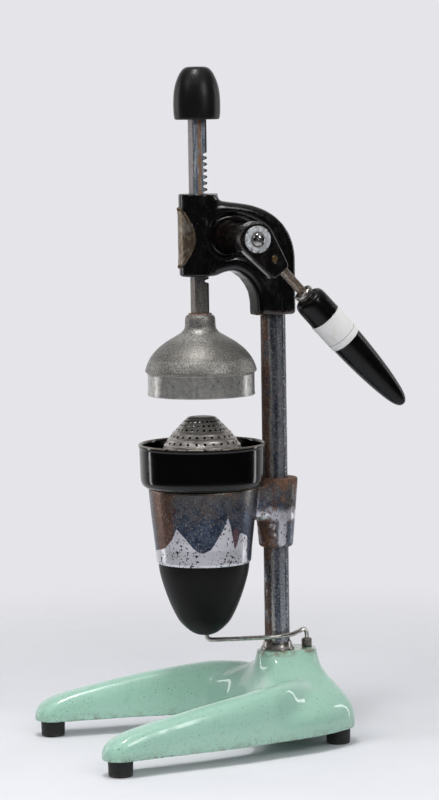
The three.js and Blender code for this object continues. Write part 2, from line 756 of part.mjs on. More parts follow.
// blank oval plate riveted round the front of the guide
const oval = ring(28, 1).map(([a, b]) => [a * 17.9, 512.5 + b * 30]);
const plate = solid(at(tubeRing(GUIDE_R + GAP, GUIDE_R + 1.1, 475, 552, 56), 0, PRESS_Y))
  .intersect(solid(plateY(oval, PRESS_Y - 40, PRESS_Y)));
add(
  "nameplate",
  cut(plate, [541, 484].map((z) => solid(at(alongY(disc(1.4, -GUIDE_R - 4, -GUIDE_R + 4, 14)), 0, PRESS_Y, z)))),
  ...BRASS,
);
[["rivet_top", 541], ["rivet_bottom", 484]].forEach(([name, z]) =>
  add(
    name,
    at(
      alongY(
        turned([[0, -22.9], [1.3, -22.6], [2.1, -21.8], [2.2, -21.4], [1.1, -21.4], [1.1, -16], [0, -16]], false, 16),
      ),
      0,
      PRESS_Y,
      z,
    ),
    ...BRASS,
  ),
);

// ---- rack, cap and bell ----
const pitch = Math.PI * MODULE_MM;
const half = RACK_W / 2;
const c = RACK_CHAMFER;
const barOutline = [
  [-half + c, -half], [half - c, -half], [half, -half + c], [half, half - c], [half - c, half], [-half + c, half],
  [-half, half - c], [-half, -half + c],
].map(([x, y]) => [x, y + PRESS_Y]);
const pitchY = PRESS_Y + half - MODULE_MM;
const gaps = [];
for (let k = -RACK_GAPS_BELOW; k < RACK_TEETH - RACK_GAPS_BELOW; k++) {
  const z = PINION_Z + k * pitch;
  const w = pitch / 4;
  const t = Math.tan(rad(20));
  const up = MODULE_MM + 1;
  const down = 1.25 * MODULE_MM;
  gaps.push(
    solid(
      plateX(
        [
          [pitchY - down, z - (w - down * t)], [pitchY + up, z - (w + up * t)],
          [pitchY + up, z + (w + up * t)], [pitchY - down, z + (w - down * t)],
        ],
        -12,
        12,
      ),
    ),
  );
}
const rack = cut(
  all([
    solid(plateZ(barOutline, RACK_BOTTOM, RACK_TOP)),
    solid(at(disc(6, 421, RACK_BOTTOM + 1, 32), 0, PRESS_Y)),
  ]),
  [...gaps, solid(at(disc(3.3, 410, 436, 20), 0, PRESS_Y))],
);
add("rack_bar", rack, ...CHROME);

const CAP = [
  [CAP_BOTTOM, 21.2], [630.2, 22.2], [632.4, 22.8], [636, 23.2], [642, 23.4], [648.8, 23.3], [656.7, 22.7], [664.6, 21.1],
  [672.5, 18.1], [677, 15.6], [680.2, 12.9], [681.5, 10.4], [CAP_TOP, 7],
];
add(
  "rack_cap",
  cut(
    solid(at(turned([[0, CAP_BOTTOM], ...CAP.map(([z, r]) => [r, z]), [0, CAP_TOP]]), 0, PRESS_Y)),
    [solid(block(-7.85, 7.85, PRESS_Y - 7.85, PRESS_Y + 7.85, CAP_BOTTOM - 5, RACK_TOP + 1))],
  ),
  ...MATTE_BLACK,
);

add(
  "press_bell",
  at(
    turned(
      [
        [6.3, BELL_NECK_Z], [11.4, BELL_NECK_Z], [11.6, 433.6], [14.6, 433], [15, 424],
        [15.8, 420.8], [18.6, 418], [26.4, 413.2], [35, 408.2], [43.4, 401.5],
        [49.6, 394.4], [53.6, 387.2], [55.8, 380.4], [BELL_R, 378.6], [53.6, 376.6],
        [53.5, 359], [53.9, 356.2], [53.2, BELL_RIM_Z], [50.6, BELL_RIM_Z],
        [50.3, 376], [48.4, 386], [43.2, 395],
        [34.8, 403], [24, 409], [12, 413.2], [8.2, 414], [3.5, 414], [3.5, 420],
        [6.3, 420],
      ],
      true,
    ),
    0,
    PRESS_Y,
  ),
  ...CASTING,
);
add(
  "bell_screw",
  cut(
    solid(at(turned([[0, 410.2], [3.6, 410.4], [6, 411.4], [7, 412.6], [7, 413.7], [3, 413.7], [3, 434], [2, 435], [0, 435]], false, 16), 0, PRESS_Y)),
    [solid(block(-8, 8, PRESS_Y - 0.6, PRESS_Y + 0.6, 405, 411.8))],
  ),
  ...STEEL,
);

// ---- pinion, shaft and lever ----
function pinionOutline() {
  const N = PINION_TEETH;
  const r = PINION_PITCH_R;
  const rb = r * Math.cos(rad(20));
  const ra = r + MODULE_MM;
  const rf = r - 1.25 * MODULE_MM;
  const inv = (a) => Math.tan(a) - a;
  const halfTooth = Math.PI / (2 * N) - BACKLASH / r;
  const pts = [];
  const flank = [];
  for (const q of [rb, rb + (ra - rb) * 0.4, ra]) {
    const a = Math.acos(Math.min(1, rb / q));
    flank.push([q, halfTooth + inv(rad(20)) - inv(a)]);
  }
  for (let i = 0; i < N; i++) {
    const c0 = Math.PI + (2 * Math.PI * i) / N; // one tooth points straight at the rack
    const polar = (q, a) => pts.push([q * Math.cos(c0 + a), q * Math.sin(c0 + a)]);
    polar(rf, -(flank[0][1] + 0.012));
    for (const [q, a] of flank) polar(q, -a);
    for (const [q, a] of [...flank].reverse()) polar(q, a);
    polar(rf, flank[0][1] + 0.012);
  }
  return pts;
}
add(
  "pinion_gear",
  at(
    plateX(pinionOutline(), -6, 6.2, [ring(24, SHAFT_R + GAP).reverse()]),
    0,
    PINION_Y,
    PINION_Z,
  ),
  ...STEEL,
);
add(
  "pinion_shaft",
  at(
    alongX(turned([[0, -25.6], [SHAFT_R - 0.8, -25.6], [SHAFT_R, -24.8], [SHAFT_R, LEVER_X[1] - GAP], [3.4, LEVER_X[1] - GAP], [3.4, 70], [0, 70]], false, 24)),
    0,
    PINION_Y,
    PINION_Z,
  ),
  ...STEEL,
);
add(
  "shaft_bush",
  at(alongX(tubeRing(SHAFT_R + GAP, 10.9, 56.3, SHAFT_BOSS_END, 24)), 0, PINION_Y, PINION_Z),
  ...BRASS,
);

// Pieces of the handle are drawn along +Z from the pinion's axis and then swung down to the rear.
const onLever = (g) =>
  g
    .rotateX(-rad(90 + LEVER_DROP_DEG))
    .translate(LEVER_MID, PINION_Y, PINION_Z);
function hubOutline() {
  // [across, along] in the lever's own plane
  const e = HUB_END;
  const w = HUB_END_HALF;
  const pts = [];
  const tilt = Math.acos((HUB_R - w) / e); // where the straight edges leave the round end
  for (let i = 0; i <= 20; i++) {
    const a = tilt + ((2 * Math.PI - 2 * tilt) * i) / 20;
    pts.push([HUB_R * Math.sin(a), HUB_R * Math.cos(a)]);
  }
  pts.push([-w - 0.1, e - 4], [-w + 1, e - 1.4], [-w + 3.2, e], [w - 3.2, e], [w - 1, e - 1.4], [w + 0.1, e - 4]);
  const c = Math.cos(rad(HUB_TILT_DEG));
  const s = Math.sin(rad(HUB_TILT_DEG));
  return pts.map(([y, z]) => [y * c + z * s, z * c - y * s]);
}
const hubHalf = (LEVER_X[1] - LEVER_X[0]) / 2;
const hubShape = roundedPlateX(hubOutline(), -hubHalf, hubHalf, 1.2, 1);
const hub = cut(solid(onLever(hubShape)), [
  solid(at(alongX(disc(SHAFT_R + GAP, 60, 100, 24)), 0, PINION_Y, PINION_Z)),
  solid(onLever(disc(ROD_R + GAP, ROD_START - 0.4, 60, 24))),
  solid(onLever(alongX(disc(3.6, 2, 20, 20)).translate(0, 0, 26.5))),
]);
add("lever_hub", hub, ...ENAMEL);
add(
  "lever_grub",
  cut(solid(onLever(alongX(turned([[0, ROD_R + GAP], [2.8, ROD_R + GAP], [3.3, ROD_R + GAP + 0.5], [3.3, hubHalf + 0.1], [2.9, hubHalf + 0.4], [0, hubHalf + 0.4]], false, 16)).translate(0, 0, 26.5))), [
    solid(onLever(block(hubHalf - 0.8, hubHalf + 3, -5, 5, 26, 27))),
  ]),
  ...BRASS,
);
add(
  "lever_washer",
  at(alongX(tubeRing(3.5, 13.3, LEVER_X[1] + GAP, LEVER_X[1] + GAP + 1.9, 28)), 0, PINION_Y, PINION_Z),
  ...ZINC,
);
const screwX = LEVER_X[1] + 2 * GAP + 1.9;
const leverScrewSlot = solid(
  block(screwX + 1.6, screwX + 9, -12, 12, -0.9, 0.9).rotateX(-rad(48)).translate(0, PINION_Y, PINION_Z),
);
add(
  "lever_screw",
  cut(
    solid(at(alongX(turned([[0, 72], [3.1, 72], [3.1, screwX], [6.7, screwX], [6.7, screwX + 1.6], [6, screwX + 3], [4.2, screwX + 4.1], [0, screwX + 4.7]], false, 20)), 0, PINION_Y, PINION_Z)),
    [leverScrewSlot],
  ),
  ...ZINC,
);
add("handle_rod", onLever(disc(ROD_R, ROD_START, 126, 24)), ...STEEL);
add(
  "grip_nut",
  onLever(turned([[ROD_R + GAP, 72], [8.4, 72], [9.6, 72.8], [9.6, 76.4], [8.6, 77.2], [ROD_R + GAP, 77.2]], true, 20)),
  ...ZINC,
);
add("grip_ferrule", onLever(tubeRing(ROD_R + GAP, 8, 77.5, GRIP_START - GAP, 20)), ...STEEL);
const GRIP = [
  [GRIP_START, 12.2], [81.6, 14.6], [86, 16.1], [95, GRIP_R], [125, GRIP_R], [150, 15.8],
  [170, 14.7], [185, 13.5], [198, 12.1], [209, 10.5], [218, 8.8], [225, 6.3], [229, 3.1], [GRIP_END, 1],
];
const gripR = (s) => lookup(GRIP, s);
add(
  "handle_grip",
  onLever(
    turned([[0, 130], [ROD_R + 0.4, 130], [ROD_R + 0.4, GRIP_START], ...GRIP.map(([s, r]) => [r, s]), [0, GRIP_END]], false, 24),
  ),
  ...MATTE_BLACK,
);
const LABEL = [107, 123, 139];
const labelBand = solid(
  turned([...LABEL.map((s) => [gripR(s) + 0.65, s]), ...[...LABEL].reverse().map((s) => [gripR(s) + GAP, s])], true, 28),
).subtract(solid(plateZ([[-2, 0], [-40, 22], [-40, -22]], 100, 145)));
const labelMesh = labelBand.getMesh();
const labelGeometry = new THREE.BufferGeometry()
  .setAttribute("position", new THREE.BufferAttribute(new Float32Array(labelMesh.vertProperties), 3))
  .setIndex(new THREE.BufferAttribute(new Uint32Array(labelMesh.triVerts), 1));
add("grip_label", onLever(labelGeometry), ...PAPER);

// The origin goes to the floor under the middle of the whole object.
const box = new THREE.Box3().setFromObject(group);
group.position.set(
  -Math.round((50 * (box.min.x + box.max.x))) / 100,
  -Math.round((50 * (box.min.y + box.max.y))) / 100,
  0,
);

export default group;
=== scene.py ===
import math

import bmesh
import bpy
import numpy as np
from mathutils import Matrix, Vector


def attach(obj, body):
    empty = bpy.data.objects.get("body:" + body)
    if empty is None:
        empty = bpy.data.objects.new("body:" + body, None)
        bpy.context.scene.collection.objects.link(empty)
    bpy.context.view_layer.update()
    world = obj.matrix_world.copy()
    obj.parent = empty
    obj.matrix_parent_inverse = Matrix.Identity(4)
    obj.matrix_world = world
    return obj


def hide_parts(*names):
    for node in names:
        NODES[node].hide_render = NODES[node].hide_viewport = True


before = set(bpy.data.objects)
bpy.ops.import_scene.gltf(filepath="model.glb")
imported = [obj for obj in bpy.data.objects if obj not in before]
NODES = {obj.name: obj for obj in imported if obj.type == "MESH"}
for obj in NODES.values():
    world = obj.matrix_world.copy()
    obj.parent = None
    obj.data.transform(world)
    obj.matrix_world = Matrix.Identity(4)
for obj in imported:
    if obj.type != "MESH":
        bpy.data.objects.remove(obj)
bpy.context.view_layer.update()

scene = bpy.context.scene
scene.view_settings.view_transform = "Standard"
scene.view_settings.look = "None"
OFF = 59.07  # from the column's axis to the row frame's origin, along Y
PRESS = (0.0, OFF - 78.1)
COLUMN = (0.0, OFF)
PIN = (OFF - 50.6, 513.0)
LEVER_MID = 83.3
TAU = 2 * math.pi


# ---------------------------------------------------------------- mesh helpers (millimetres in, metres out)
def T(x, y, z=0.0):
    return Matrix.Translation((x, y, z))


ALONG_X = Matrix(((0, 0, 1, 0), (0, 1, 0, 0), (-1, 0, 0, 0), (0, 0, 0, 1)))
ALONG_Y = Matrix.Rotation(-math.pi / 2, 4, "X")
ON_LEVER = T(LEVER_MID, PIN[0], PIN[1]) @ Matrix.Rotation(-math.radians(137.2), 4, "X")
AT_PRESS = T(*PRESS)
AT_COLUMN = T(*COLUMN)
AT_PIN = T(0, PIN[0], PIN[1]) @ ALONG_X


def make(name, verts, faces, place=None):
    me = bpy.data.meshes.new(name)
    me.from_pydata([tuple(v) for v in verts], [], faces)
    bm = bmesh.new()
    bm.from_mesh(me)
    bmesh.ops.recalc_face_normals(bm, faces=bm.faces)
    bm.to_mesh(me)
    bm.free()
    m = Matrix.Scale(0.001, 4) @ (place or Matrix.Identity(4))
    me.transform(m)
    if m.determinant() < 0:
        me.flip_normals()
    o = bpy.data.objects.new(name, me)
    scene.collection.objects.link(o)
    return o


def rounded(profile, r=0.5, closed=False, limit=22, steps=4):
    """Corners of a profile become small arcs."""
    n = len(profile)
    out = []
    for i, p in enumerate(profile):
        if not closed and i in (0, n - 1):
            out.append(p)
            continue
        a, b = profile[i - 1], profile[(i + 1) % n]
        v0 = np.array(p, float) - np.array(a, float)
        v1 = np.array(b, float) - np.array(p, float)
        l0, l1 = np.linalg.norm(v0), np.linalg.norm(v1)
        if l0 < 1e-6 or l1 < 1e-6:
            continue
        turn = math.degrees(math.acos(max(-1, min(1, float(v0 @ v1 / l0 / l1)))))
        if turn < limit:
            out.append(p)
            continue
        d0, d1 = min(r, 0.42 * l0), min(r, 0.42 * l1)
        p0 = np.array(p) - v0 / l0 * d0
        p1 = np.array(p) + v1 / l1 * d1
        for k in range(steps + 1):
            t = k / steps
            q = (1 - t) ** 2 * p0 + 2 * t * (1 - t) * np.array(p) + t * t * p1
            out.append((float(q[0]), float(q[1])))
    return out


def curved(points, steps=5):
    """Centripetal Catmull-Rom line through the points."""
    P = [np.array(p, float) for p in points]
    P = [2 * P[0] - P[1], *P, 2 * P[-1] - P[-2]]
    out = []
    for i in range(1, len(P) - 2):
        p0, p1, p2, p3 = P[i - 1 : i + 3]
        t0 = 0.0
        t1 = t0 + max(1e-6, np.linalg.norm(p1 - p0) ** 0.5)
        t2 = t1 + max(1e-6, np.linalg.norm(p2 - p1) ** 0.5)
        t3 = t2 + max(1e-6, np.linalg.norm(p3 - p2) ** 0.5)
        for k in range(steps):
            t = t1 + (t2 - t1) * k / steps
            a1 = (t1 - t) / (t1 - t0) * p0 + (t - t0) / (t1 - t0) * p1
            a2 = (t2 - t) / (t2 - t1) * p1 + (t - t1) / (t2 - t1) * p2
            a3 = (t3 - t) / (t3 - t2) * p2 + (t - t2) / (t3 - t2) * p3
            b1 = (t2 - t) / (t2 - t0) * a1 + (t - t0) / (t2 - t0) * a2
            b2 = (t3 - t) / (t3 - t1) * a2 + (t - t1) / (t3 - t1) * a3
            out.append(tuple((t2 - t) / (t2 - t1) * b1 + (t - t1) / (t2 - t1) * b2))
    out.append(tuple(P[-2]))
    return out


def lathe(name, profile, place, seg=96, closed=False):
    verts, rows = [], []
    for r, z in profile:
        if r < 1e-6:
            rows.append([len(verts)])
            verts.append((0, 0, z))
        else:
            rows.append(list(range(len(verts), len(verts) + seg)))
            verts += [(r * math.cos(TAU * i / seg), r * math.sin(TAU * i / seg), z) for i in range(seg)]
    faces = []
    for a, b in list(zip(rows, rows[1:])) + ([(rows[-1], rows[0])] if closed else []):
        for i in range(seg):
            j = (i + 1) % seg
            if len(a) == 1 and len(b) == 1:
                break
            if len(a) == 1:
                faces.append((a[0], b[i], b[j]))
            elif len(b) == 1:
                faces.append((a[i], b[0], a[j]))
            else:
                faces.append((a[i], b[i], b[j], a[j]))
    return make(name, verts, faces, place)


def box_mesh(name, lo, hi, place=None):
    x0, y0, z0 = lo
    x1, y1, z1 = hi
    v = [(x0, y0, z0), (x1, y0, z0), (x1, y1, z0), (x0, y1, z0), (x0, y0, z1), (x1, y0, z1), (x1, y1, z1), (x0, y1, z1)]
    f = [(0, 3, 2, 1), (4, 5, 6, 7), (0, 1, 5, 4), (1, 2, 6, 5), (2, 3, 7, 6), (3, 0, 4, 7)]
    return make(name, v, f, place)


def baked(o):
    """The object's mesh with its modifiers applied."""
    dg = bpy.context.evaluated_depsgraph_get()
    me = bpy.data.meshes.new_from_object(o.evaluated_get(dg))
    o.modifiers.clear()
    old = o.data
    o.data = me
    bpy.data.meshes.remove(old)
    return o


def boolean(o, others, operation="DIFFERENCE"):
    for c in others:
        m = o.modifiers.new("b", "BOOLEAN")
        m.operation, m.solver, m.object = operation, "MANIFOLD", c
        baked(o)
    for c in others:
        me = c.data
        bpy.data.objects.remove(c)
        bpy.data.meshes.remove(me)
    return o


def joined(name, objs):
    bm = bmesh.new()
    for o in objs:
        bm.from_mesh(o.data)
    me = bpy.data.meshes.new(name)
    bm.to_mesh(me)
    bm.free()
    for o in objs:
        old = o.data
        bpy.data.objects.remove(o)
        bpy.data.meshes.remove(old)
    out = bpy.data.objects.new(name, me)
    scene.collection.objects.link(out)
    return out


def copied(name, node):
    """A welded copy of a CAD node's mesh."""
    me = NODES[node].data.copy()
    me.name = name
    bm = bmesh.new()
    bm.from_mesh(me)
    bmesh.ops.remove_doubles(bm, verts=bm.verts, dist=2e-6)
    bmesh.ops.recalc_face_normals(bm, faces=bm.faces)
    bm.to_mesh(me)
    bm.free()
    me.materials.clear()
    out = bpy.data.objects.new(name, me)
    scene.collection.objects.link(out)
    return out


def voxels(o, size):
    m = o.modifiers.new("v", "REMESH")
    m.mode, m.voxel_size, m.use_smooth_shade = "VOXEL", size * 0.001, True
    return baked(o)


def arrays(o):
    me = o.data
    v = np.zeros(len(me.vertices) * 3)
    me.vertices.foreach_get("co", v)
    e = np.zeros(len(me.edges) * 2, np.int64)
    me.edges.foreach_get("vertices", e)
    return v.reshape(-1, 3), e.reshape(-1, 2)


def mean_near(v, e, count):
    out = np.zeros_like(v)
    for k in range(v.shape[1]):
        out[:, k] = np.bincount(e[:, 0], v[e[:, 1], k], len(v)) + np.bincount(e[:, 1], v[e[:, 0], k], len(v))
    return out / count[:, None]


def smooth(o, times, weight=None, keep_size=False):
    """Moves each point towards its neighbours. weight(v in mm) says how much, 0..1."""
    v, e = arrays(o)
    count = np.bincount(e[:, 0], minlength=len(v)) + np.bincount(e[:, 1], minlength=len(v))
    w = np.ones(len(v)) if weight is None else np.clip(weight(v * 1000), 0, 1)
    for i in range(times):
        v = v + (mean_near(v, e, count) - v) * (w * 0.6)[:, None]
        if keep_size:
            v = v - (mean_near(v, e, count) - v) * (w * 0.62)[:, None]
    o.data.vertices.foreach_set("co", v.ravel())
    o.data.update()
    return o


def set_points(o, fn):
    v, _ = arrays(o)
    o.data.vertices.foreach_set("co", (fn(v * 1000) / 1000).ravel())
    o.data.update()
    return o


def wear(o, spread=3, gain=1.0):
    """A point attribute: how much a place sticks out (edges above 0, hollows below)."""
    v, e = arrays(o)
    me = o.data
    n = np.zeros(len(me.vertices) * 3)
    me.vertices.foreach_get("normal", n)
    n = n.reshape(-1, 3)
    count = np.bincount(e[:, 0], minlength=len(v)) + np.bincount(e[:, 1], minlength=len(v))
    size = np.linalg.norm(v[e[:, 0]] - v[e[:, 1]], axis=1).mean()
    c = ((v - mean_near(v, e, count)) * n).sum(1)[:, None] / size
    for i in range(spread):
        c = 0.5 * c + 0.5 * mean_near(c, e, count)
    a = me.attributes.new("wear", "FLOAT", "POINT")
    a.data.foreach_set("value", (c[:, 0] * gain).astype(np.float32))
    return o


def finish_mesh(o, sharp=None, weighted=True):
    for p in o.data.polygons:
        p.use_smooth = True
    if sharp is not None:
        o.data.set_sharp_from_angle(angle=math.radians(sharp))
    if weighted:
        m = o.modifiers.new("weighted", "WEIGHTED_NORMAL")
        m.keep_sharp = True
    return o


def refined(name, node, bevel=0.25, seg=2, sharp=32, limit=32):
    """A CAD node's own shape with soft edges."""
    o = copied(name, node)
    bm = bmesh.new()
    bm.from_mesh(o.data)
    bmesh.ops.dissolve_limit(bm, angle_limit=math.radians(0.6), verts=bm.verts, edges=bm.edges)
    bm.to_mesh(o.data)
    bm.free()
    m = o.modifiers.new("bevel", "BEVEL")
    m.width, m.segments, m.limit_method, m.angle_limit = bevel * 0.001, seg, "ANGLE", math.radians(limit)
    baked(o)
    return finish_mesh(o, sharp)


# ---------------------------------------------------------------- material helpers
def C(r, g, b):
    out = []
    for c in (r, g, b):
        c /= 255
        out.append(c / 12.92 if c <= 0.04045 else ((c + 0.055) / 1.055) ** 2.4)
    return (*out, 1.0)


class Mat:
    def __init__(self, name):
        self.mat = bpy.data.materials.new(name)
        self.mat.use_nodes = True
        self.nt = self.mat.node_tree
        self.nt.nodes.clear()
        out = self.nt.nodes.new("ShaderNodeOutputMaterial")
        self.b = self.nt.nodes.new("ShaderNodeBsdfPrincipled")
        self.nt.links.new(self.b.outputs[0], out.inputs["Surface"])
        self.co = self.nt.nodes.new("ShaderNodeTexCoord").outputs["Object"]
        self.mm = self.map(self.co, (1000, 1000, 1000))

    def put(self, value, socket):
        if isinstance(value, bpy.types.NodeSocket):
            self.nt.links.new(value, socket)
        else:
            socket.default_value = value

    def set(self, **k):
        names = {
            "color": "Base Color", "metal": "Metallic", "rough": "Roughness", "coat": "Coat Weight",
            "coat_rough": "Coat Roughness", "spec": "Specular IOR Level", "normal": "Normal", "coat_normal": "Coat Normal",
            "sheen": "Sheen Weight", "aniso": "Anisotropic", "ior": "IOR",
        }
        for n, v in k.items():
            self.put(v, self.b.inputs[names[n]])
        return self

    def map(self, vec, scale=(1, 1, 1), loc=(0, 0, 0), rot=(0, 0, 0)):
        n = self.nt.nodes.new("ShaderNodeMapping")
        self.put(vec, n.inputs["Vector"])
        n.inputs["Scale"].default_value = scale
        n.inputs["Location"].default_value = loc
        n.inputs["Rotation"].default_value = rot
        return n.outputs[0]

    def noise(self, size, detail=3, rough=0.55, vec=None, distort=0.0):
        """size is the feature size in mm."""
        n = self.nt.nodes.new("ShaderNodeTexNoise")
        self.put(self.mm if vec is None else vec, n.inputs["Vector"])
        n.inputs["Scale"].default_value = 1.0 / size
        n.inputs["Detail"].default_value = detail
        n.inputs["Roughness"].default_value = rough
        n.inputs["Distortion"].default_value = distort
        return n.outputs[0]

    def cells(self, size, vec=None, out="Distance", randomness=1.0):
        n = self.nt.nodes.new("ShaderNodeTexVoronoi")
        self.put(self.mm if vec is None else vec, n.inputs["Vector"])
        n.inputs["Scale"].default_value = 1.0 / size
        n.inputs["Randomness"].default_value = randomness
        return n.outputs[out]

    def ramp(self, fac, stops, mode="LINEAR"):
        n = self.nt.nodes.new("ShaderNodeValToRGB")
        n.color_ramp.interpolation = mode
        el = n.color_ramp.elements
        while len(el) < len(stops):
            el.new(0.5)
        for e, (p, c) in zip(el, sorted(stops, key=lambda s: s[0])):
            e.position = p
            e.color = c if isinstance(c, tuple) else (c, c, c, 1)
        self.put(fac, n.inputs[0])
        return n.outputs[0]

    def mix(self, fac, a, b, mode="MIX"):
        n = self.nt.nodes.new("ShaderNodeMix")
        n.data_type, n.blend_type = "RGBA", mode
        self.put(fac, n.inputs[0])
        self.put(a, n.inputs[6])
        self.put(b, n.inputs[7])
        return n.outputs[2]

    def lerp(self, fac, a, b):
        n = self.nt.nodes.new("ShaderNodeMix")
        n.data_type = "FLOAT"
        self.put(fac, n.inputs[0])
        self.put(a, n.inputs[2])
        self.put(b, n.inputs[3])
        return n.outputs[0]

    def op(self, kind, a, b=0.0, clamp=False):
        n = self.nt.nodes.new("ShaderNodeMath")
        n.operation, n.use_clamp = kind, clamp
        self.put(a, n.inputs[0])
        self.put(b, n.inputs[1])
        return n.outputs[0]

    def step(self, v, a, b):
        """0 below a, 1 above b; a may be larger than b."""
        n = self.nt.nodes.new("ShaderNodeMapRange")
        n.interpolation_type = "SMOOTHSTEP"
        flip = a > b
        self.put(v, n.inputs[0])
        n.inputs[1].default_value, n.inputs[2].default_value = (b, a) if flip else (a, b)
        n.inputs[3].default_value, n.inputs[4].default_value = (1, 0) if flip else (0, 1)
        return n.outputs[0]

    def mul(self, *v):
        out = v[0]
        for x in v[1:]:
            out = self.op("MULTIPLY", out, x)
        return out

    def top(self, *v):
        out = v[0]
        for x in v[1:]:
            out = self.op("MAXIMUM", out, x)
        return out

    def xyz(self, vec=None):
        n = self.nt.nodes.new("ShaderNodeSeparateXYZ")
        self.put(self.mm if vec is None else vec, n.inputs[0])
        return n.outputs

    def polar(self, cx, cy):
        """(angle 0..1, radius mm, z mm) about an upright axis; angle 0.5 is the -Y... +X side is 0.5 away from the seam."""
        x, y, z = self.xyz(self.map(self.co, (1000, 1000, 1000), (-cx, -cy, 0)))
        a = self.op("ARCTAN2", y, x)  # 0 on +X, seam on -X
        a = self.op("ADD", self.op("DIVIDE", a, TAU), 0.5)
        n = self.nt.nodes.new("ShaderNodeVectorMath")
        n.operation = "LENGTH"
        c = self.nt.nodes.new("ShaderNodeCombineXYZ")
        self.put(x, c.inputs[0])
        self.put(y, c.inputs[1])
        self.put(c.outputs[0], n.inputs[0])
        return a, n.outputs["Value"], z

    def attr(self, name):
        n = self.nt.nodes.new("ShaderNodeAttribute")
        n.attribute_name = name
        return n.outputs["Fac"]

    def bump(self, height, strength=0.3, distance=0.2, normal=None):
        """distance in mm."""
        n = self.nt.nodes.new("ShaderNodeBump")
        n.inputs["Strength"].default_value = strength
        n.inputs["Distance"].default_value = distance * 0.001
        self.put(height, n.inputs["Height"])
        if normal is not None:
            self.put(normal, n.inputs["Normal"])
        return n.outputs[0]

    def far_from(self, x, y, z):
        n = self.nt.nodes.new("ShaderNodeVectorMath")
        n.operation = "DISTANCE"
        self.put(self.mm, n.inputs[0])
        n.inputs[1].default_value = (x, y, z)
        return n.outputs["Value"]

    def facing(self, x, y, z):
        """How much the surface looks along a direction of the object, -1..1."""
        g = self.nt.nodes.new("ShaderNodeNewGeometry")
        n = self.nt.nodes.new("ShaderNodeVectorMath")
        n.operation = "DOT_PRODUCT"
        self.put(g.outputs["Normal"], n.inputs[0])
        n.inputs[1].default_value = Vector((x, y, z)).normalized()
        return n.outputs["Value"]


RUST = [(0.3, C(50, 34, 27)), (0.48, C(84, 58, 42)), (0.62, C(122, 86, 60)), (0.78, C(74, 52, 40))]


def mint():
    m = Mat("mint_enamel_worn")
    x, y, z = m.xyz()
    w = m.attr("wear")
    tone = m.mix(m.noise(60, 3, 0.5), C(149, 191, 172), C(163, 204, 186))
    tone = m.mix(m.mul(m.step(m.noise(9, 5, 0.65), 0.52, 0.72), 0.35), tone, C(134, 178, 156))
    # grey-brown dirt that gathers in hollows, round the column and low down
    round_post = m.mul(m.step(z, 84, 90.5), m.step(m.noise(7, 5, 0.7), 0.42, 0.6))
    tone = m.mix(m.mul(round_post, 0.75), tone, C(120, 92, 66))
    low = m.mul(m.step(z, 27, 17), m.step(m.noise(8, 4, 0.6), 0.4, 0.65))
    tone = m.mix(m.mul(low, 0.4), tone, C(112, 118, 98))
    hollow = m.mul(m.step(w, -0.012, -0.05), m.step(m.noise(12, 4, 0.6), 0.35, 0.6))
    tone = m.mix(m.mul(hollow, 0.4), tone, C(122, 140, 122))
    # pin-head chips, thickest near the noses and along the edges
    near_nose = m.step(y, -95, -150)
    edge = m.step(w, 0.02, 0.07)
    dense = m.op("ADD", m.mul(near_nose, 0.018), m.mul(edge, 0.045))
    patch = m.mul(m.step(m.noise(38, 2, 0.5), 0.45, 0.65), 0.02)
    dense = m.op("ADD", dense, patch)
    fine = m.op("ADD", m.noise(1.3, 2, 0.6), dense)
    fleck = m.step(fine, 0.675, 0.70)
    big = m.step(m.op("ADD", m.noise(3.4, 5, 0.72), dense), 0.70, 0.715)
    chip = m.top(fleck, big)
    bare = m.mix(m.noise(2.5, 3, 0.6), C(38, 28, 24), C(92, 66, 48))
    color = m.mix(chip, tone, bare)
    smear = m.mul(m.step(m.noise(16, 5, 0.6, m.map(m.mm, (1, 0.35, 1))), 0.62, 0.78), 0.3)
    color = m.mix(smear, color, C(176, 196, 180))
    rough = m.lerp(chip, m.lerp(m.noise(20, 4, 0.6), 0.28, 0.42), 0.75)
    h = m.op("SUBTRACT", m.mul(m.noise(14, 2, 0.4), 0.5), m.mul(chip, 0.5))
    nrm = m.bump(h, 0.35, 0.35)
    m.set(color=color, rough=rough, normal=nrm, coat=0.85, coat_rough=0.06)
    return m.mat


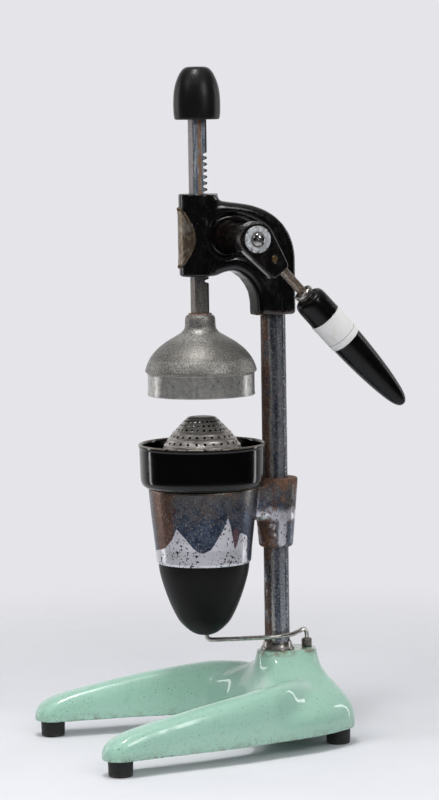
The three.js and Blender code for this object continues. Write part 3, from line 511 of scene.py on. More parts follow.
def enamel(name, wide=False, gloss=0.13):
    m = Mat(name)
    x, y, z = m.xyz()
    w = m.attr("wear")
    base = m.mix(m.noise(18, 4, 0.6), C(5, 6, 7), C(12, 11, 11))
    edge = m.mul(m.step(w, 0.055, 0.13), m.step(m.noise(3.2, 5, 0.7), 0.5, 0.66))
    bare = m.mix(m.noise(1.6, 3, 0.6), C(120, 104, 88), C(78, 58, 44))
    fleck = m.step(m.noise(1.1, 2, 0.6), 0.70, 0.73)
    smudge = m.mul(m.step(m.noise(11, 5, 0.65), 0.52, 0.72), 0.35)
    color = m.mix(smudge, base, C(24, 19, 17))
    color = m.mix(m.mul(fleck, 0.7), color, C(118, 100, 82))
    if wide:
        # rust creeping out round the shaft's boss
        n = m.nt.nodes.new("ShaderNodeVectorMath")
        n.operation = "LENGTH"
        c = m.nt.nodes.new("ShaderNodeCombineXYZ")
        m.put(m.op("SUBTRACT", y, PIN[0]), c.inputs[0])
        m.put(m.op("SUBTRACT", z, PIN[1]), c.inputs[1])
        m.put(c.outputs[0], n.inputs[0])
        rr = n.outputs["Value"]
        creep = m.mul(m.step(rr, 30, 14), m.step(x, 4, 10), m.step(m.noise(5, 5, 0.7), 0.45, 0.65))
        color = m.mix(m.mul(creep, 0.42), color, m.ramp(m.noise(2.2, 4, 0.6), [(0.35, C(26, 18, 15)), (0.7, C(62, 40, 30))]))
        foot = m.mul(m.step(z, 440, 433), m.step(m.noise(3, 4, 0.6), 0.45, 0.6))
        color = m.mix(m.mul(foot, 0.6), color, C(84, 58, 42))
    color = m.mix(edge, color, bare)
    rough = m.lerp(edge, m.lerp(m.step(m.noise(9, 5, 0.65), 0.4, 0.75), gloss, gloss + 0.2), 0.5)
    h = m.op("SUBTRACT", m.mul(m.noise(7, 3, 0.5), 0.7), m.mul(m.top(edge, fleck), 0.4))
    under = m.mul(m.step(m.facing(0, -1, 0), 0.2, 0.6), m.step(y, PRESS[1] + 21.5, PRESS[1] + 24))
    m.set(color=color, rough=rough, normal=m.bump(h, 0.22, 0.2), coat=m.lerp(under, 0.15, 0.0), coat_rough=0.08, spec=m.lerp(under, 0.5, 0.06))
    return m.mat


def bowl_enamel():
    m = Mat("bowl_enamel_gloss")
    a, r, z = m.polar(*PRESS)
    base = m.mix(m.noise(25, 3, 0.5), C(4, 4, 5), C(8, 7, 7))
    rim = m.mul(m.step(z, 304.6, 305.9), m.step(m.noise(4, 4, 0.65), 0.34, 0.52))
    base = m.mix(m.mul(rim, 0.85), base, m.mix(m.noise(2, 3, 0.6), C(178, 172, 164), C(98, 82, 68)))
    scratch = m.step(m.noise(1.6, 2, 0.5, m.map(m.mm, (1, 1, 9))), 0.7, 0.76)
    base = m.mix(m.mul(scratch, 0.12), base, C(96, 88, 80))
    juice = m.mul(m.step(m.noise(9, 5, 0.7), 0.58, 0.74), m.step(z, 272, 264))
    base = m.mix(m.mul(juice, 0.3), base, C(48, 40, 32))
    rough = m.op("ADD", m.lerp(m.noise(14, 5, 0.65), 0.07, 0.22), m.mul(rim, 0.2))
    m.set(color=base, rough=rough, metal=m.mul(rim, 0.8), normal=m.bump(m.noise(11, 2, 0.5), 0.16, 0.25), coat=0.08, coat_rough=0.05, spec=0.34)
    return m.mat


def satin(name, rough0, rough1, tint=C(14, 14, 15), tint2=C(24, 23, 23), grain=0.8, bump=0.12, spec=0.34):
    m = Mat(name)
    base = m.mix(m.noise(13, 5, 0.6), tint, tint2)
    dust = m.mul(m.step(m.noise(grain, 2, 0.6), 0.6, 0.74), 0.3)
    base = m.mix(dust, base, C(48, 44, 42))
    scuff = m.mul(m.step(m.noise(5, 6, 0.75, m.map(m.mm, (1, 1, 0.35))), 0.6, 0.74), 0.25)
    base = m.mix(scuff, base, C(38, 34, 31))
    rough = m.lerp(m.noise(6, 5, 0.65), rough0, rough1)
    m.set(color=base, rough=rough, normal=m.bump(m.op("ADD", m.noise(grain, 2, 0.5), m.mul(m.noise(9, 3, 0.5), 0.8)), bump, 0.15), spec=spec)
    return m.mat


def column_chrome():
    m = Mat("column_worn_chrome")
    a, r, z = m.polar(*COLUMN)
    stretch = m.map(m.mm, (1, 1, 0.06))
    streak = m.noise(3.2, 4, 0.6, stretch)
    pits = m.step(m.noise(2.0, 2, 0.6), 0.60, 0.64)
    base = m.mix(m.step(streak, 0.36, 0.64), C(78, 86, 100), C(150, 154, 162))
    fine = m.step(m.noise(2.2, 3, 0.7), 0.44, 0.58)
    base = m.mix(m.mul(fine, 0.6), base, C(52, 58, 70))
    base = m.mix(m.mul(pits, 0.6), base, C(26, 26, 30))
    worn = m.step(m.noise(26, 5, 0.6, m.map(m.mm, (1, 1, 0.4))), 0.42, 0.62)
    base = m.mix(m.mul(worn, 0.45), base, C(74, 78, 86))
    # painted highlight: pale vertical bands on the sides looking along (0.986, 0.165) and (0.787, -0.617)
    painted_highlight_right = m.mul(m.step(m.facing(0.986, 0.165, 0), 0.955, 0.985), m.step(m.noise(5, 4, 0.6, stretch), 0.3, 0.5))
    base = m.mix(m.mul(painted_highlight_right, 0.55), base, C(204, 208, 214))
    painted_highlight_left = m.mul(m.step(m.facing(0.787, -0.617, 0), 0.984, 0.996), m.step(m.noise(6, 4, 0.6, stretch), 0.4, 0.55))
    base = m.mix(m.mul(painted_highlight_left, 0.7), base, C(200, 196, 190))
    # painted shade: the side looking along (0.35, 0.937) darker
    dim = m.step(m.facing(0.35, 0.937, 0), 0.72, 0.9)
    base = m.mix(m.mul(dim, 0.5), base, C(48, 52, 60))
    glint = m.step(m.noise(1.8, 2, 0.6), 0.60, 0.64)
    base = m.mix(m.mul(glint, 0.6), base, C(214, 218, 222))
    # rust runs down the side that faces the bowl and thickens near the fittings
    side = m.step(m.facing(0.1, -0.995, 0), 0.62, 0.93)
    back = m.mul(m.step(m.facing(0.05, 0.99, 0), 0.75, 1.0), 0.6)
    near = m.top(m.step(z, 130, 94), m.mul(m.step(z, 296, 266), m.step(z, 255, 262)), m.mul(m.step(z, 408, 434), 0.7), m.mul(m.step(z, 170, 198), 0.8))
    grow = m.noise(5.0, 6, 0.75, m.map(m.mm, (1, 1, 0.35)))
    rust = m.step(m.op("ADD", grow, m.op("ADD", m.mul(m.top(side, back), 0.19), m.mul(near, 0.1))), 0.62, 0.74)
    specks = m.step(m.op("ADD", m.noise(2.3, 2, 0.6), m.mul(side, 0.06)), 0.62, 0.66)
    rust = m.op("MAXIMUM", rust, m.mul(specks, 0.85))
    rc = m.ramp(m.noise(2.6, 5, 0.65), RUST)
    color = m.mix(m.mul(rust, 0.88), base, rc)
    rough = m.lerp(rust, m.lerp(m.noise(3, 4, 0.6), 0.16, 0.34), 0.72)
    metal = m.lerp(rust, 0.74, 0.2)
    h = m.op("ADD", m.mul(rust, 0.6), m.op("SUBTRACT", m.mul(m.noise(1.2, 3, 0.6), 0.5), m.mul(pits, 0.4)))
    m.set(color=color, rough=rough, metal=metal, normal=m.bump(h, 0.4, 0.16))
    return m.mat


def holder_chrome():
    m = Mat("holder_chrome_rust_and_painted_reflection")
    a, r, z = m.polar(*PRESS)
    ca, cr, cz = m.polar(*COLUMN)
    on_boss = m.step(cr, 33, 29)
    wob = m.mul(m.op("SUBTRACT", m.noise(9, 4, 0.6), 0.5), 9.0)
    # where the painted dark reflection on the upper part ends, all round the ring
    edge = m.ramp(a, [
        (0.0, 0.42), (0.05, 0.30), (0.10, 0.48), (0.15, 0.25), (0.20, 0.17), (0.243, 0.19), (0.272, 0.21), (0.304, 0.25),
        (0.337, 0.37), (0.356, 0.52), (0.385, 0.39), (0.409, 0.265), (0.425, 0.215), (0.4445, 0.20), (0.467, 0.24), (0.491, 0.40), (0.508, 0.52),
        (0.521, 0.66), (0.530, 0.56), (0.539, 0.42), (0.552, 0.22), (0.5625, 0.30), (0.571, 0.45), (0.612, 0.37),
        (0.622, 0.05), (0.66, 0.02), (0.72, 0.34), (0.79, 0.5), (0.86, 0.28), (0.93, 0.5), (1.0, 0.42),
    ])
    height = m.op("ADD", m.op("ADD", m.mul(edge, 76.0), 186.0), m.mul(wob, 0.35))
    d = m.op("SUBTRACT", z, height)
    painted_dark_reflection = m.mul(m.step(d, -0.6, 0.9), m.op("SUBTRACT", 1.0, on_boss))
    boss_painted_dark_reflection = m.mul(on_boss, m.step(m.op("ADD", z, m.mul(wob, 1.6)), 231, 240))
    painted_dark_reflection = m.top(painted_dark_reflection, boss_painted_dark_reflection)
    # painted reflection: the bright zone stands for the pale floor reflected below, the blue zone above for the dark
    # room
    bright = m.mix(m.noise(16, 4, 0.55), C(206, 206, 214), C(236, 235, 240))
    speck = m.step(m.op("ADD", m.noise(2.7, 2, 0.55), m.mul(m.op("SUBTRACT", m.noise(14, 2, 0.5), 0.5), 0.12)), 0.605, 0.63)
    stain = m.mul(m.step(m.noise(9, 3, 0.6), 0.6, 0.7), 0.4)
    bright = m.mix(stain, bright, C(168, 150, 130))
    bright = m.mix(speck, bright, C(52, 42, 40))
    blue = m.mix(m.step(m.noise(10, 6, 0.7), 0.36, 0.64), C(52, 62, 82), C(94, 106, 124))
    grit = m.step(m.noise(2.2, 3, 0.75), 0.46, 0.56)
    blue = m.mix(m.mul(grit, 0.6), blue, C(44, 50, 62))
    cloud = m.mul(m.step(m.noise(13, 6, 0.72), 0.46, 0.6), m.step(z, 214, 240))
    blue = m.mix(m.mul(cloud, 0.5), blue, C(128, 118, 108))
    blue = m.mix(m.mul(m.step(z, 238, 258), 0.5), blue, C(136, 130, 122))
    brown = m.mix(m.noise(3.5, 4, 0.6), C(84, 58, 50), C(132, 100, 82))
    left = m.mul(m.step(m.op("ADD", a, m.mul(m.op("SUBTRACT", m.noise(5, 5, 0.7), 0.5), 0.09)), 0.362, 0.336), m.step(a, 0.236, 0.27))
    thin = m.mul(m.step(a, 0.540, 0.543), m.step(a, 0.567, 0.563), m.step(z, 227, 220))
    blue = m.mix(m.mul(thin, 0.7), blue, C(124, 88, 92))
    blue = m.mix(m.mul(left, 0.85), blue, brown)
    pit = m.step(m.noise(2.2, 2, 0.6), 0.58, 0.64)
    blue = m.mix(m.mul(pit, 0.5), blue, m.mix(m.noise(3), C(40, 40, 50), C(92, 70, 56)))
    color = m.mix(painted_dark_reflection, bright, blue)
    flake = m.step(m.noise(1.9, 2, 0.6), 0.61, 0.65)
    color = m.mix(m.mul(flake, painted_dark_reflection, 0.45), color, C(190, 186, 184))
    # the boss: painted shade on its lower part, brown on the bowl's side and blue-grey elsewhere, left out along one
    # bright stripe facing +X
    stripe = m.step(m.facing(1.0, 0.0, 0), 0.955, 0.985)
    shade = m.mul(on_boss, m.step(z, 228, 223), m.op("SUBTRACT", 1.0, stripe), m.step(m.noise(6, 4, 0.6), 0.3, 0.42))
    color = m.mix(m.mul(shade, 0.85), color, m.mix(m.step(m.facing(0.415, -0.91, 0), 0.55, 0.8), C(70, 80, 98), C(84, 54, 38)))
    # rust: warm patches near the rim and where the arm meets the ring
    grow = m.noise(8, 6, 0.72)
    arm = m.mul(m.step(cr, 44, 24), m.step(z, 212, 232))
    rimz = m.step(z, 250, 262)
    boss_ends = m.mul(on_boss, m.top(m.step(z, 261.5, 266.5), m.step(z, 202, 198)))
    recess = m.mul(on_boss, m.mul(m.step(m.facing(-0.1, -1, 0), 0.25, 0.8), m.step(z, 231, 226)))
    rust = m.step(m.op("ADD", grow, m.op("ADD", m.op("ADD", m.mul(arm, 0.12), m.mul(rimz, 0.1)), m.op("ADD", m.mul(boss_ends, 0.2), m.mul(recess, 0.18)))), 0.62, 0.76)
    rc = m.ramp(m.noise(3.0, 5, 0.65), [(0.3, C(56, 38, 28)), (0.48, C(98, 64, 42)), (0.62, C(142, 94, 58)), (0.8, C(84, 58, 42))])
    lip = m.mul(m.step(z, 260.4, 261.4), m.step(r, 56, 54.8), m.op("SUBTRACT", 1.0, on_boss))
    color = m.mix(m.mul(rust, 0.8), color, rc)
    color = m.mix(m.mul(lip, 0.75), color, m.mix(m.noise(5, 3, 0.6), C(206, 176, 128), C(236, 228, 214)))
    rough = m.lerp(rust, m.lerp(painted_dark_reflection, 0.3, m.lerp(m.noise(4, 4, 0.6), 0.26, 0.42)), 0.72)
    metal = m.lerp(rust, m.lerp(painted_dark_reflection, 0.88, 0.96), 0.2)
    h = m.op("SUBTRACT", m.op("ADD", m.mul(rust, 0.6), m.mul(m.noise(5, 4, 0.5), 0.5)), m.mul(m.top(m.mul(speck, m.op("SUBTRACT", 1.0, painted_dark_reflection)), m.mul(pit, painted_dark_reflection)), 0.5))
    m.set(color=color, rough=rough, metal=metal, normal=m.bump(h, 0.35, 0.18))
    return m.mat


def bell_metal():
    m = Mat("bell_cast_aluminium")
    a, r, z = m.polar(*PRESS)
    band = m.step(z, 379.5, 377.5)
    mottle = m.noise(1.5, 4, 0.7)
    base = m.mix(m.step(mottle, 0.40, 0.60), C(118, 116, 112), C(188, 186, 181))
    cloud = m.noise(24, 4, 0.6)
    base = m.mix(m.mul(m.step(cloud, 0.42, 0.66), 0.4), base, C(132, 128, 122))
    polished = m.mix(m.step(m.noise(5, 5, 0.65), 0.36, 0.66), C(172, 170, 166), C(206, 205, 202))
    base = m.mix(band, base, polished)
    pit = m.step(m.op("ADD", m.noise(1.3, 3, 0.65), m.mul(band, 0.02)), 0.62, 0.67)
    base = m.mix(m.mul(pit, 0.75), base, C(48, 44, 42))
    # painted shade: a dark line under the lip, joined with real grime near the band's lower edge and the neck
    painted_shade_under_lip = m.mul(m.step(z, 379.2, 378.4), m.step(z, 375.2, 376.6))
    grime_and_painted_shade = m.top(m.mul(m.step(m.noise(10, 6, 0.7), 0.5, 0.66), m.top(m.step(z, 360, 356), m.step(z, 417, 430))), painted_shade_under_lip)
    base = m.mix(m.mul(grime_and_painted_shade, 0.5), base, C(84, 70, 56))
    neck = m.mul(m.step(z, 435.2, 436.4), m.step(m.noise(4, 4, 0.6), 0.3, 0.5))
    base = m.mix(m.mul(neck, 0.8), base, C(120, 70, 38))
    inside = m.mul(m.step(r, 51.5, 50.5), m.step(z, 413, 408))
    base = m.mix(m.mul(inside, 0.35), base, C(88, 84, 78))
    rough = m.op("ADD", m.lerp(band, m.lerp(mottle, 0.46, 0.58), m.lerp(m.noise(5, 4), 0.24, 0.34)), m.mul(pit, 0.2))
    h = m.op("SUBTRACT", m.mul(mottle, 0.7), m.mul(pit, 0.6))
    m.set(color=base, rough=rough, metal=m.lerp(m.top(neck, m.mul(grime_and_painted_shade, 0.5)), m.lerp(band, 0.86, 0.7), 0.3), normal=m.bump(h, 0.35, 0.12))
    return m.mat


def steel(name, c0, c1, r0, r1, rusty=0.0, brushed=None, size=2.0, metal=1.0, speck=0.5):
    m = Mat(name)
    vec = None if brushed is None else m.map(m.mm, brushed)
    n = m.noise(size, 4, 0.6, vec)
    base = m.mix(m.step(n, 0.36, 0.66), c0, c1)
    pit = m.step(m.noise(0.9, 3, 0.65), 0.66, 0.72)
    base = m.mix(m.mul(pit, speck), base, C(40, 36, 34))
    grow = m.op("ADD", m.noise(3.2, 6, 0.72), rusty - 0.3)
    rust = m.step(grow, 0.42, 0.56)
    base = m.mix(m.mul(rust, 0.85), base, m.ramp(m.noise(1.6, 4, 0.65), RUST))
    rough = m.lerp(rust, m.lerp(m.noise(2.4, 4, 0.6, vec), r0, r1), 0.7)
    h = m.op("ADD", m.mul(rust, 0.6), m.op("SUBTRACT", m.mul(n, 0.4), m.mul(pit, 0.4)))
    m.set(color=base, rough=rough, metal=m.lerp(rust, metal, 0.2), normal=m.bump(h, 0.35, 0.08))
    return m.mat


def washer_zinc():
    m = Mat("washer_zinc_plate")
    x, y, z = m.xyz()
    n = m.nt.nodes.new("ShaderNodeVectorMath")
    n.operation = "LENGTH"
    c = m.nt.nodes.new("ShaderNodeCombineXYZ")
    m.put(m.op("SUBTRACT", y, PIN[0]), c.inputs[0])
    m.put(m.op("SUBTRACT", z, PIN[1]), c.inputs[1])
    m.put(c.outputs[0], n.inputs[0])
    rr = n.outputs["Value"]
    base = m.mix(m.step(m.noise(3.2, 4, 0.65), 0.4, 0.62), C(176, 180, 184), C(226, 228, 231))
    pit = m.step(m.noise(1.6, 2, 0.6), 0.61, 0.66)
    base = m.mix(m.mul(pit, 0.6), base, C(104, 98, 94))
    chip = m.mul(m.step(rr, 10.2, 12.6), m.step(m.noise(3.4, 3, 0.65), 0.52, 0.6))
    # painted shade: a dark ring round the screw head, mixed with the real chips in dark
    painted_shade_round_head = m.step(rr, 8.3, 7.2)
    dark = m.top(m.mul(chip, 0.9), m.mul(painted_shade_round_head, 0.85))
    base = m.mix(dark, base, m.mix(m.noise(1.4), C(36, 30, 27), C(72, 58, 48)))
    rough = m.lerp(dark, m.lerp(m.noise(2.4, 4), 0.34, 0.5), 0.7)
    h = m.op("SUBTRACT", m.mul(m.noise(2.6, 3), 0.3), m.mul(dark, 0.4))
    m.set(color=base, rough=rough, metal=m.lerp(dark, 0.4, 0.1), normal=m.bump(h, 0.3, 0.1))
    return m.mat


def rack_chrome():
    m = Mat("rack_worn_chrome")
    x, y, z = m.xyz()
    streak = m.noise(2.4, 5, 0.65, m.map(m.mm, (1, 1, 0.1)))
    base = m.mix(m.step(streak, 0.36, 0.64), C(98, 114, 130), C(186, 192, 198))
    grain = m.step(m.noise(2.0, 3, 0.7), 0.45, 0.57)
    base = m.mix(m.mul(grain, 0.45), base, C(66, 76, 88))
    base = m.mix(m.mul(m.step(m.facing(0, -1, 0), 0.5, 0.8), 0.6), base, C(150, 134, 126))
    low = m.step(z, 478, 470)
    base = m.mix(m.mul(low, 0.75), base, m.mix(m.noise(2.5, 4, 0.65), C(84, 74, 64), C(134, 126, 114)))
    pit = m.step(m.op("ADD", m.noise(1.8, 2, 0.6), m.mul(low, 0.05)), 0.61, 0.66)
    base = m.mix(m.mul(pit, 0.6), base, C(46, 42, 40))
    strip = m.mul(m.step(y, PRESS[1] - 3.2, PRESS[1] - 1.8), m.step(y, PRESS[1] + 1.9, PRESS[1] + 0.9), m.step(z, 540, 556), m.step(m.noise(5, 5, 0.65, m.map(m.mm, (1, 1, 0.5))), 0.32, 0.52))
    teeth = m.step(y, PRESS[1] + 5.0, PRESS[1] + 5.6)
    base = m.mix(m.mul(teeth, 0.8), base, C(52, 46, 42))
    grow = m.step(m.op("ADD", m.noise(4, 6, 0.72, m.map(m.mm, (1, 1, 0.5))), m.mul(low, 0.03)), 0.62, 0.7)
    rust = m.top(m.mul(strip, 0.9), grow)
    color = m.mix(m.mul(grow, 0.82), base, m.ramp(m.noise(1.8, 4, 0.65), RUST))
    color = m.mix(m.mul(strip, 0.9), color, m.mix(m.noise(2.4, 4, 0.65), C(96, 66, 42), C(168, 122, 80)))
    rough = m.lerp(rust, m.lerp(m.noise(2.2, 4), 0.3, 0.46), 0.66)
    h = m.op("ADD", m.mul(rust, 0.5), m.op("SUBTRACT", m.mul(streak, 0.3), m.mul(pit, 0.4)))
    m.set(color=color, rough=rough, metal=m.lerp(rust, 0.62, 0.25), normal=m.bump(h, 0.4, 0.12))
    return m.mat


def rubber():
    m = Mat("foot_rubber")
    x, y, z = m.xyz()
    base = m.mix(m.noise(5, 4, 0.6), C(13, 13, 14), C(30, 29, 28))
    dust = m.mul(m.step(z, 4.5, 0.5), m.step(m.noise(2.2, 4, 0.65), 0.4, 0.65))
    base = m.mix(m.mul(dust, 0.45), base, C(92, 86, 78))
    m.set(color=base, rough=m.lerp(m.noise(3, 4), 0.5, 0.75), normal=m.bump(m.noise(0.8, 3, 0.6), 0.3, 0.1))
    return m.mat


def paper():
    m = Mat("label_paper")
    # along the handle: distance from the pinion's axis
    n = m.nt.nodes.new("ShaderNodeVectorMath")
    n.operation = "DOT_PRODUCT"
    m.put(m.map(m.mm, (1, 1, 1), (0, -PIN[0], -PIN[1])), n.inputs[0])
    n.inputs[1].default_value = (0, 0.6794, -0.7337)
    s = n.outputs["Value"]
    x, y, z = m.xyz()
    base = m.mix(m.noise(0.35, 3, 0.6, m.map(m.mm, (1, 3, 1))), C(226, 226, 226), C(242, 241, 240))
    base = m.mix(m.mul(m.step(m.noise(9, 4, 0.6), 0.52, 0.7), 0.35), base, C(212, 206, 194))
    line = m.mul(m.step(m.op("ABSOLUTE", m.op("SUBTRACT", s, 132.0)), 0.42, 0.2), m.step(x, 68.5, 70))
    base = m.mix(m.mul(line, 0.7), base, C(96, 96, 100))
    edge = m.top(m.step(s, 108.2, 107.1), m.step(s, 137.9, 139.0))
    base = m.mix(m.mul(edge, m.step(m.noise(2), 0.4, 0.6), 0.5), base, C(168, 158, 142))
    m.set(color=base, rough=m.lerp(m.noise(2), 0.55, 0.75), normal=m.bump(m.noise(0.4, 3), 0.2, 0.05))
    return m.mat


def brass_plate():
    m = Mat("nameplate_bronze")
    x, y, z = m.xyz()
    base = m.mix(m.step(m.noise(4, 5, 0.65), 0.36, 0.66), C(92, 79, 66), C(146, 130, 112))
    base = m.mix(m.mul(m.step(m.noise(11, 4, 0.6), 0.48, 0.66), 0.5), base, C(180, 174, 166))
    pit = m.step(m.noise(1.0, 3, 0.65), 0.62, 0.7)
    base = m.mix(m.mul(pit, 0.6), base, C(58, 48, 38))
    e = m.op("ADD", m.op("POWER", m.op("DIVIDE", x, 17.9), 2.0), m.op("POWER", m.op("DIVIDE", m.op("SUBTRACT", z, 512.5), 30.0), 2.0))
    dark = m.mul(m.step(e, 0.74, 0.9), m.step(m.noise(3, 4, 0.6), 0.3, 0.55))
    base = m.mix(m.mul(dark, 0.5), base, C(70, 56, 42))
    scr = m.step(m.noise(1.2, 2, 0.5, m.map(m.mm, (1, 1, 0.12), (0, 0, 0), (0, 0.5, 0))), 0.66, 0.72)
    base = m.mix(m.mul(scr, 0.3), base, C(214, 206, 188))
    h = m.op("SUBTRACT", m.mul(m.noise(3, 4), 0.4), m.mul(pit, 0.5))
    m.set(color=base, rough=m.lerp(m.noise(3, 4), 0.3, 0.5), metal=0.85, normal=m.bump(h, 0.35, 0.1))
    return m.mat


def cone_metal():
    m = Mat("cone_stainless")
    a, r, z = m.polar(*PRESS)
    hoop = m.noise(0.9, 3, 0.6, m.map(m.mm, (0.08, 0.08, 1)))
    base = m.mix(m.step(hoop, 0.35, 0.66), C(160, 155, 150), C(222, 218, 213))
    # painted shade: the top of the crown, under the bell, drawn darker
    base = m.mix(m.mul(m.step(z, 331.6, 332.8), 0.7), base, C(92, 86, 80))
    film = m.step(m.noise(8, 5, 0.65), 0.46, 0.68)
    base = m.mix(m.mul(film, 0.4), base, C(150, 134, 122))
    spot = m.step(m.noise(1.2, 3, 0.65), 0.66, 0.72)
    base = m.mix(m.mul(spot, 0.45), base, C(84, 72, 66))
    m.set(color=base, rough=m.lerp(m.noise(3, 4), 0.32, 0.46), metal=0.84, normal=m.bump(hoop, 0.2, 0.06))
    return m.mat


def cone_dark():
    # painted shade: hole walls and the inside of the cone drawn dark
    m = Mat("cone_inside_painted_shade")
    base = m.mix(m.noise(4, 4, 0.6), C(24, 21, 20), C(52, 46, 42))
    m.set(color=base, rough=m.lerp(m.noise(2, 3), 0.5, 0.7), metal=0.4, normal=m.bump(m.noise(1.2), 0.2, 0.05))
    return m.mat


MINT = mint()
HEAD = enamel("head_black_enamel", wide=True)
HUB = enamel("hub_black_enamel", wide=True, gloss=0.16)
BOWL = bowl_enamel()
CAP_M = satin("cap_satin_black", 0.28, 0.42, C(9, 9, 10), C(17, 16, 16))
GRIP_M = satin("grip_bakelite", 0.16, 0.28, C(5, 5, 7), C(11, 10, 11), grain=1.2, bump=0.05, spec=0.26)
FUNNEL_M = satin("funnel_matte_black", 0.34, 0.46, C(6, 6, 6), C(12, 11, 11), grain=0.7, bump=0.14, spec=0.16)
COLUMN_M = column_chrome()
HOLDER_M = holder_chrome()
BELL_M = bell_metal()
RACK_M = rack_chrome()
CONE_M = cone_metal()
CONE_HOLE_SHADE = cone_dark()
WIRE_M = steel("wire_polished_steel", C(158, 154, 148), C(206, 203, 198), 0.14, 0.26, rusty=0.1, size=4, speck=0.35)
COLLAR_M = steel("collar_chrome", C(140, 136, 130), C(196, 192, 188), 0.22, 0.36, rusty=0.17, size=3)
STEEL_M = steel("screw_steel", C(104, 98, 92), C(150, 146, 140), 0.3, 0.45, rusty=0.16)
ROD_M = steel("rod_rusty_steel", C(116, 104, 94), C(168, 160, 150), 0.3, 0.48, rusty=0.235, brushed=(1, 1, 1))
ZINC_M = steel("zinc_plate", C(184, 187, 190), C(226, 228, 230), 0.24, 0.38, rusty=0.08, size=1.6, speck=0.7, metal=0.9)
WASHER_M = washer_zinc()
PIVOT_M = steel("pivot_screw_plate", C(120, 118, 116), C(206, 205, 203), 0.16, 0.28, rusty=0.1, size=2.4, speck=0.6)
NUT_M = steel("nut_plated", C(132, 128, 122), C(190, 188, 184), 0.26, 0.4, rusty=0.17, size=1.6)
BRASS_M = steel("screw_brass", C(98, 80, 56), C(142, 122, 90), 0.32, 0.48, rusty=0.14, size=1.4)
PLATE_M = brass_plate()
RUBBER_M = rubber()
PAPER_M = paper()


def wear_it(o, mat, body, slot, *nodes):
    o.data.materials.clear()
    o.data.materials.append(mat)
    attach(o, body)
    if nodes:
        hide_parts(*nodes)
    return o


# ---------------------------------------------------------------- base: one smooth casting
base = voxels(copied("base_shell", "base_casting"), 1.5)


def base_weight(v):
    z = v[:, 2]
    wt = np.clip((z - 18.5) / 8, 0, 1) * np.clip((89.3 - z) / 3, 0, 1)
    # the rounded legs keep their line; the blend between leg, body and post takes more
    return wt


def blend_weight(v):
    x, y, z = np.abs(v[:, 0]), v[:, 1], v[:, 2]
    return base_weight(v) * np.clip((y + 55) / 40, 0, 1)


smooth(base, 8, base_weight)
smooth(base, 46, blend_weight)
smooth(base, 2)
wear(base, 4)
finish_mesh(base, weighted=False)
wear_it(base, MINT, "stand", "mint_enamel", "base_casting")

FEET = {"front_near": (107.5, -147.93), "front_far": (-107.5, -147.93), "rear_near": (50, 104.07), "rear_far": (-50, 104.07)}
for spot, (fx, fy) in FEET.items():
    prof = rounded([(5, 0), (11.2, 0), (11.9, 1.0), (12.4, 15.1), (12.0, 15.7), (2.4, 15.7), (2.4, 5.2), (5, 5.2)], 0.7, True)
    o = lathe("foot_pad_" + spot, prof, T(fx, fy), 56, True)
    wear_it(finish_mesh(o, 40), RUBBER_M, "stand", "rubber", "foot_" + spot)

# ---------------------------------------------------------------- column
o = lathe("column_pipe", rounded([(10.6, 58), (12.7, 58), (12.7, 469.7), (10.6, 469.7)], 0.4, True), AT_COLUMN, 72, True)
wear_it(finish_mesh(o, 40), COLUMN_M, "stand", "worn_chrome", "column_tube")
o = lathe("column_flange", rounded([(13, 91.8), (17.2, 91.8), (17.1, 93.2), (15.6, 95.2), (14.6, 97.4), (14.1, 100), (13, 100)], 0.5, True, 10), AT_COLUMN, 72, True)
wear_it(finish_mesh(o, 40), COLLAR_M, "stand", "worn_chrome", "column_collar")

# ---------------------------------------------------------------- holder: ring, arm and boss in one casting
HOLDER_OUT = [(186, 47.1), (188, 47.7), (203, 48.8), (233, 52.2), (249, 53.7), (260.8, 54.7), (262, 54.2)]
BOSS = [(196.8, 14.7), (197.8, 16.7), (199.8, 17.4), (230, 19.98), (265, 22.8), (267.4, 22.2)]
ring = lathe("holder_casting", [(0, 186)] + [(r, z) for z, r in HOLDER_OUT] + [(0, 262)], AT_PRESS, 160)
boss = lathe("t1", [(0, 196.8)] + [(r, z) for z, r in BOSS] + [(0, 267.4)], AT_COLUMN, 96)
webv, webf = [], []
WEB = [(226, 9), (230, 13.5), (236, 15.5), (250, 17.5), (261.6, 18.5)]
for z, w in WEB:
    webv += [(w, OFF - 34, z), (w, OFF - 6, z), (-w, OFF - 6, z), (-w, OFF - 34, z)]
for k in range(len(WEB) - 1):
    for i in range(4):
        a, b = 4 * k + i, 4 * k + (i + 1) % 4
        webf.append((a, b, b + 4, a + 4))
webf += [(3, 2, 1, 0), (16, 17, 18, 19)]
web = make("t2", webv, webf)
boolean(ring, [boss, web], "UNION")
voxels(ring, 0.9)
zz = np.array([z for z, r in HOLDER_OUT])
rr = np.array([r for z, r in HOLDER_OUT])
bz = np.array([z for z, r in BOSS])
br = np.array([r for z, r in BOSS])


def arm_near(v):
    dc = np.hypot(v[:, 0], v[:, 1] - COLUMN[1])
    dp = np.hypot(v[:, 0], v[:, 1] - PRESS[1])
    near = np.clip(1 - np.abs(dp - 54) / 9, 0, 1) * np.clip((40 - dc) / 8, 0, 1) + np.clip(1 - np.abs(dc - 20) / 8, 0, 1) * np.clip((v[:, 1] < COLUMN[1] - 4).astype(float), 0, 1)
    return np.clip(near * 1.4, 0, 1) * np.clip((v[:, 2] - 212) / 8, 0, 1)


def back_on_form(v):
    dp = np.hypot(v[:, 0], v[:, 1] - PRESS[1])
    dc = np.hypot(v[:, 0], v[:, 1] - COLUMN[1])
    out = v.copy()
    R = np.interp(v[:, 2], zz, rr)
    k = np.clip((dc - 33) / 6, 0, 1) * (np.abs(dp - R) < 1.3) * (v[:, 2] > 188) * (v[:, 2] < 260.6)
    s = 1 + k * (R / np.maximum(dp, 1) - 1)
    out[:, 0] = v[:, 0] * s
    out[:, 1] = PRESS[1] + (v[:, 1] - PRESS[1]) * s
    return out


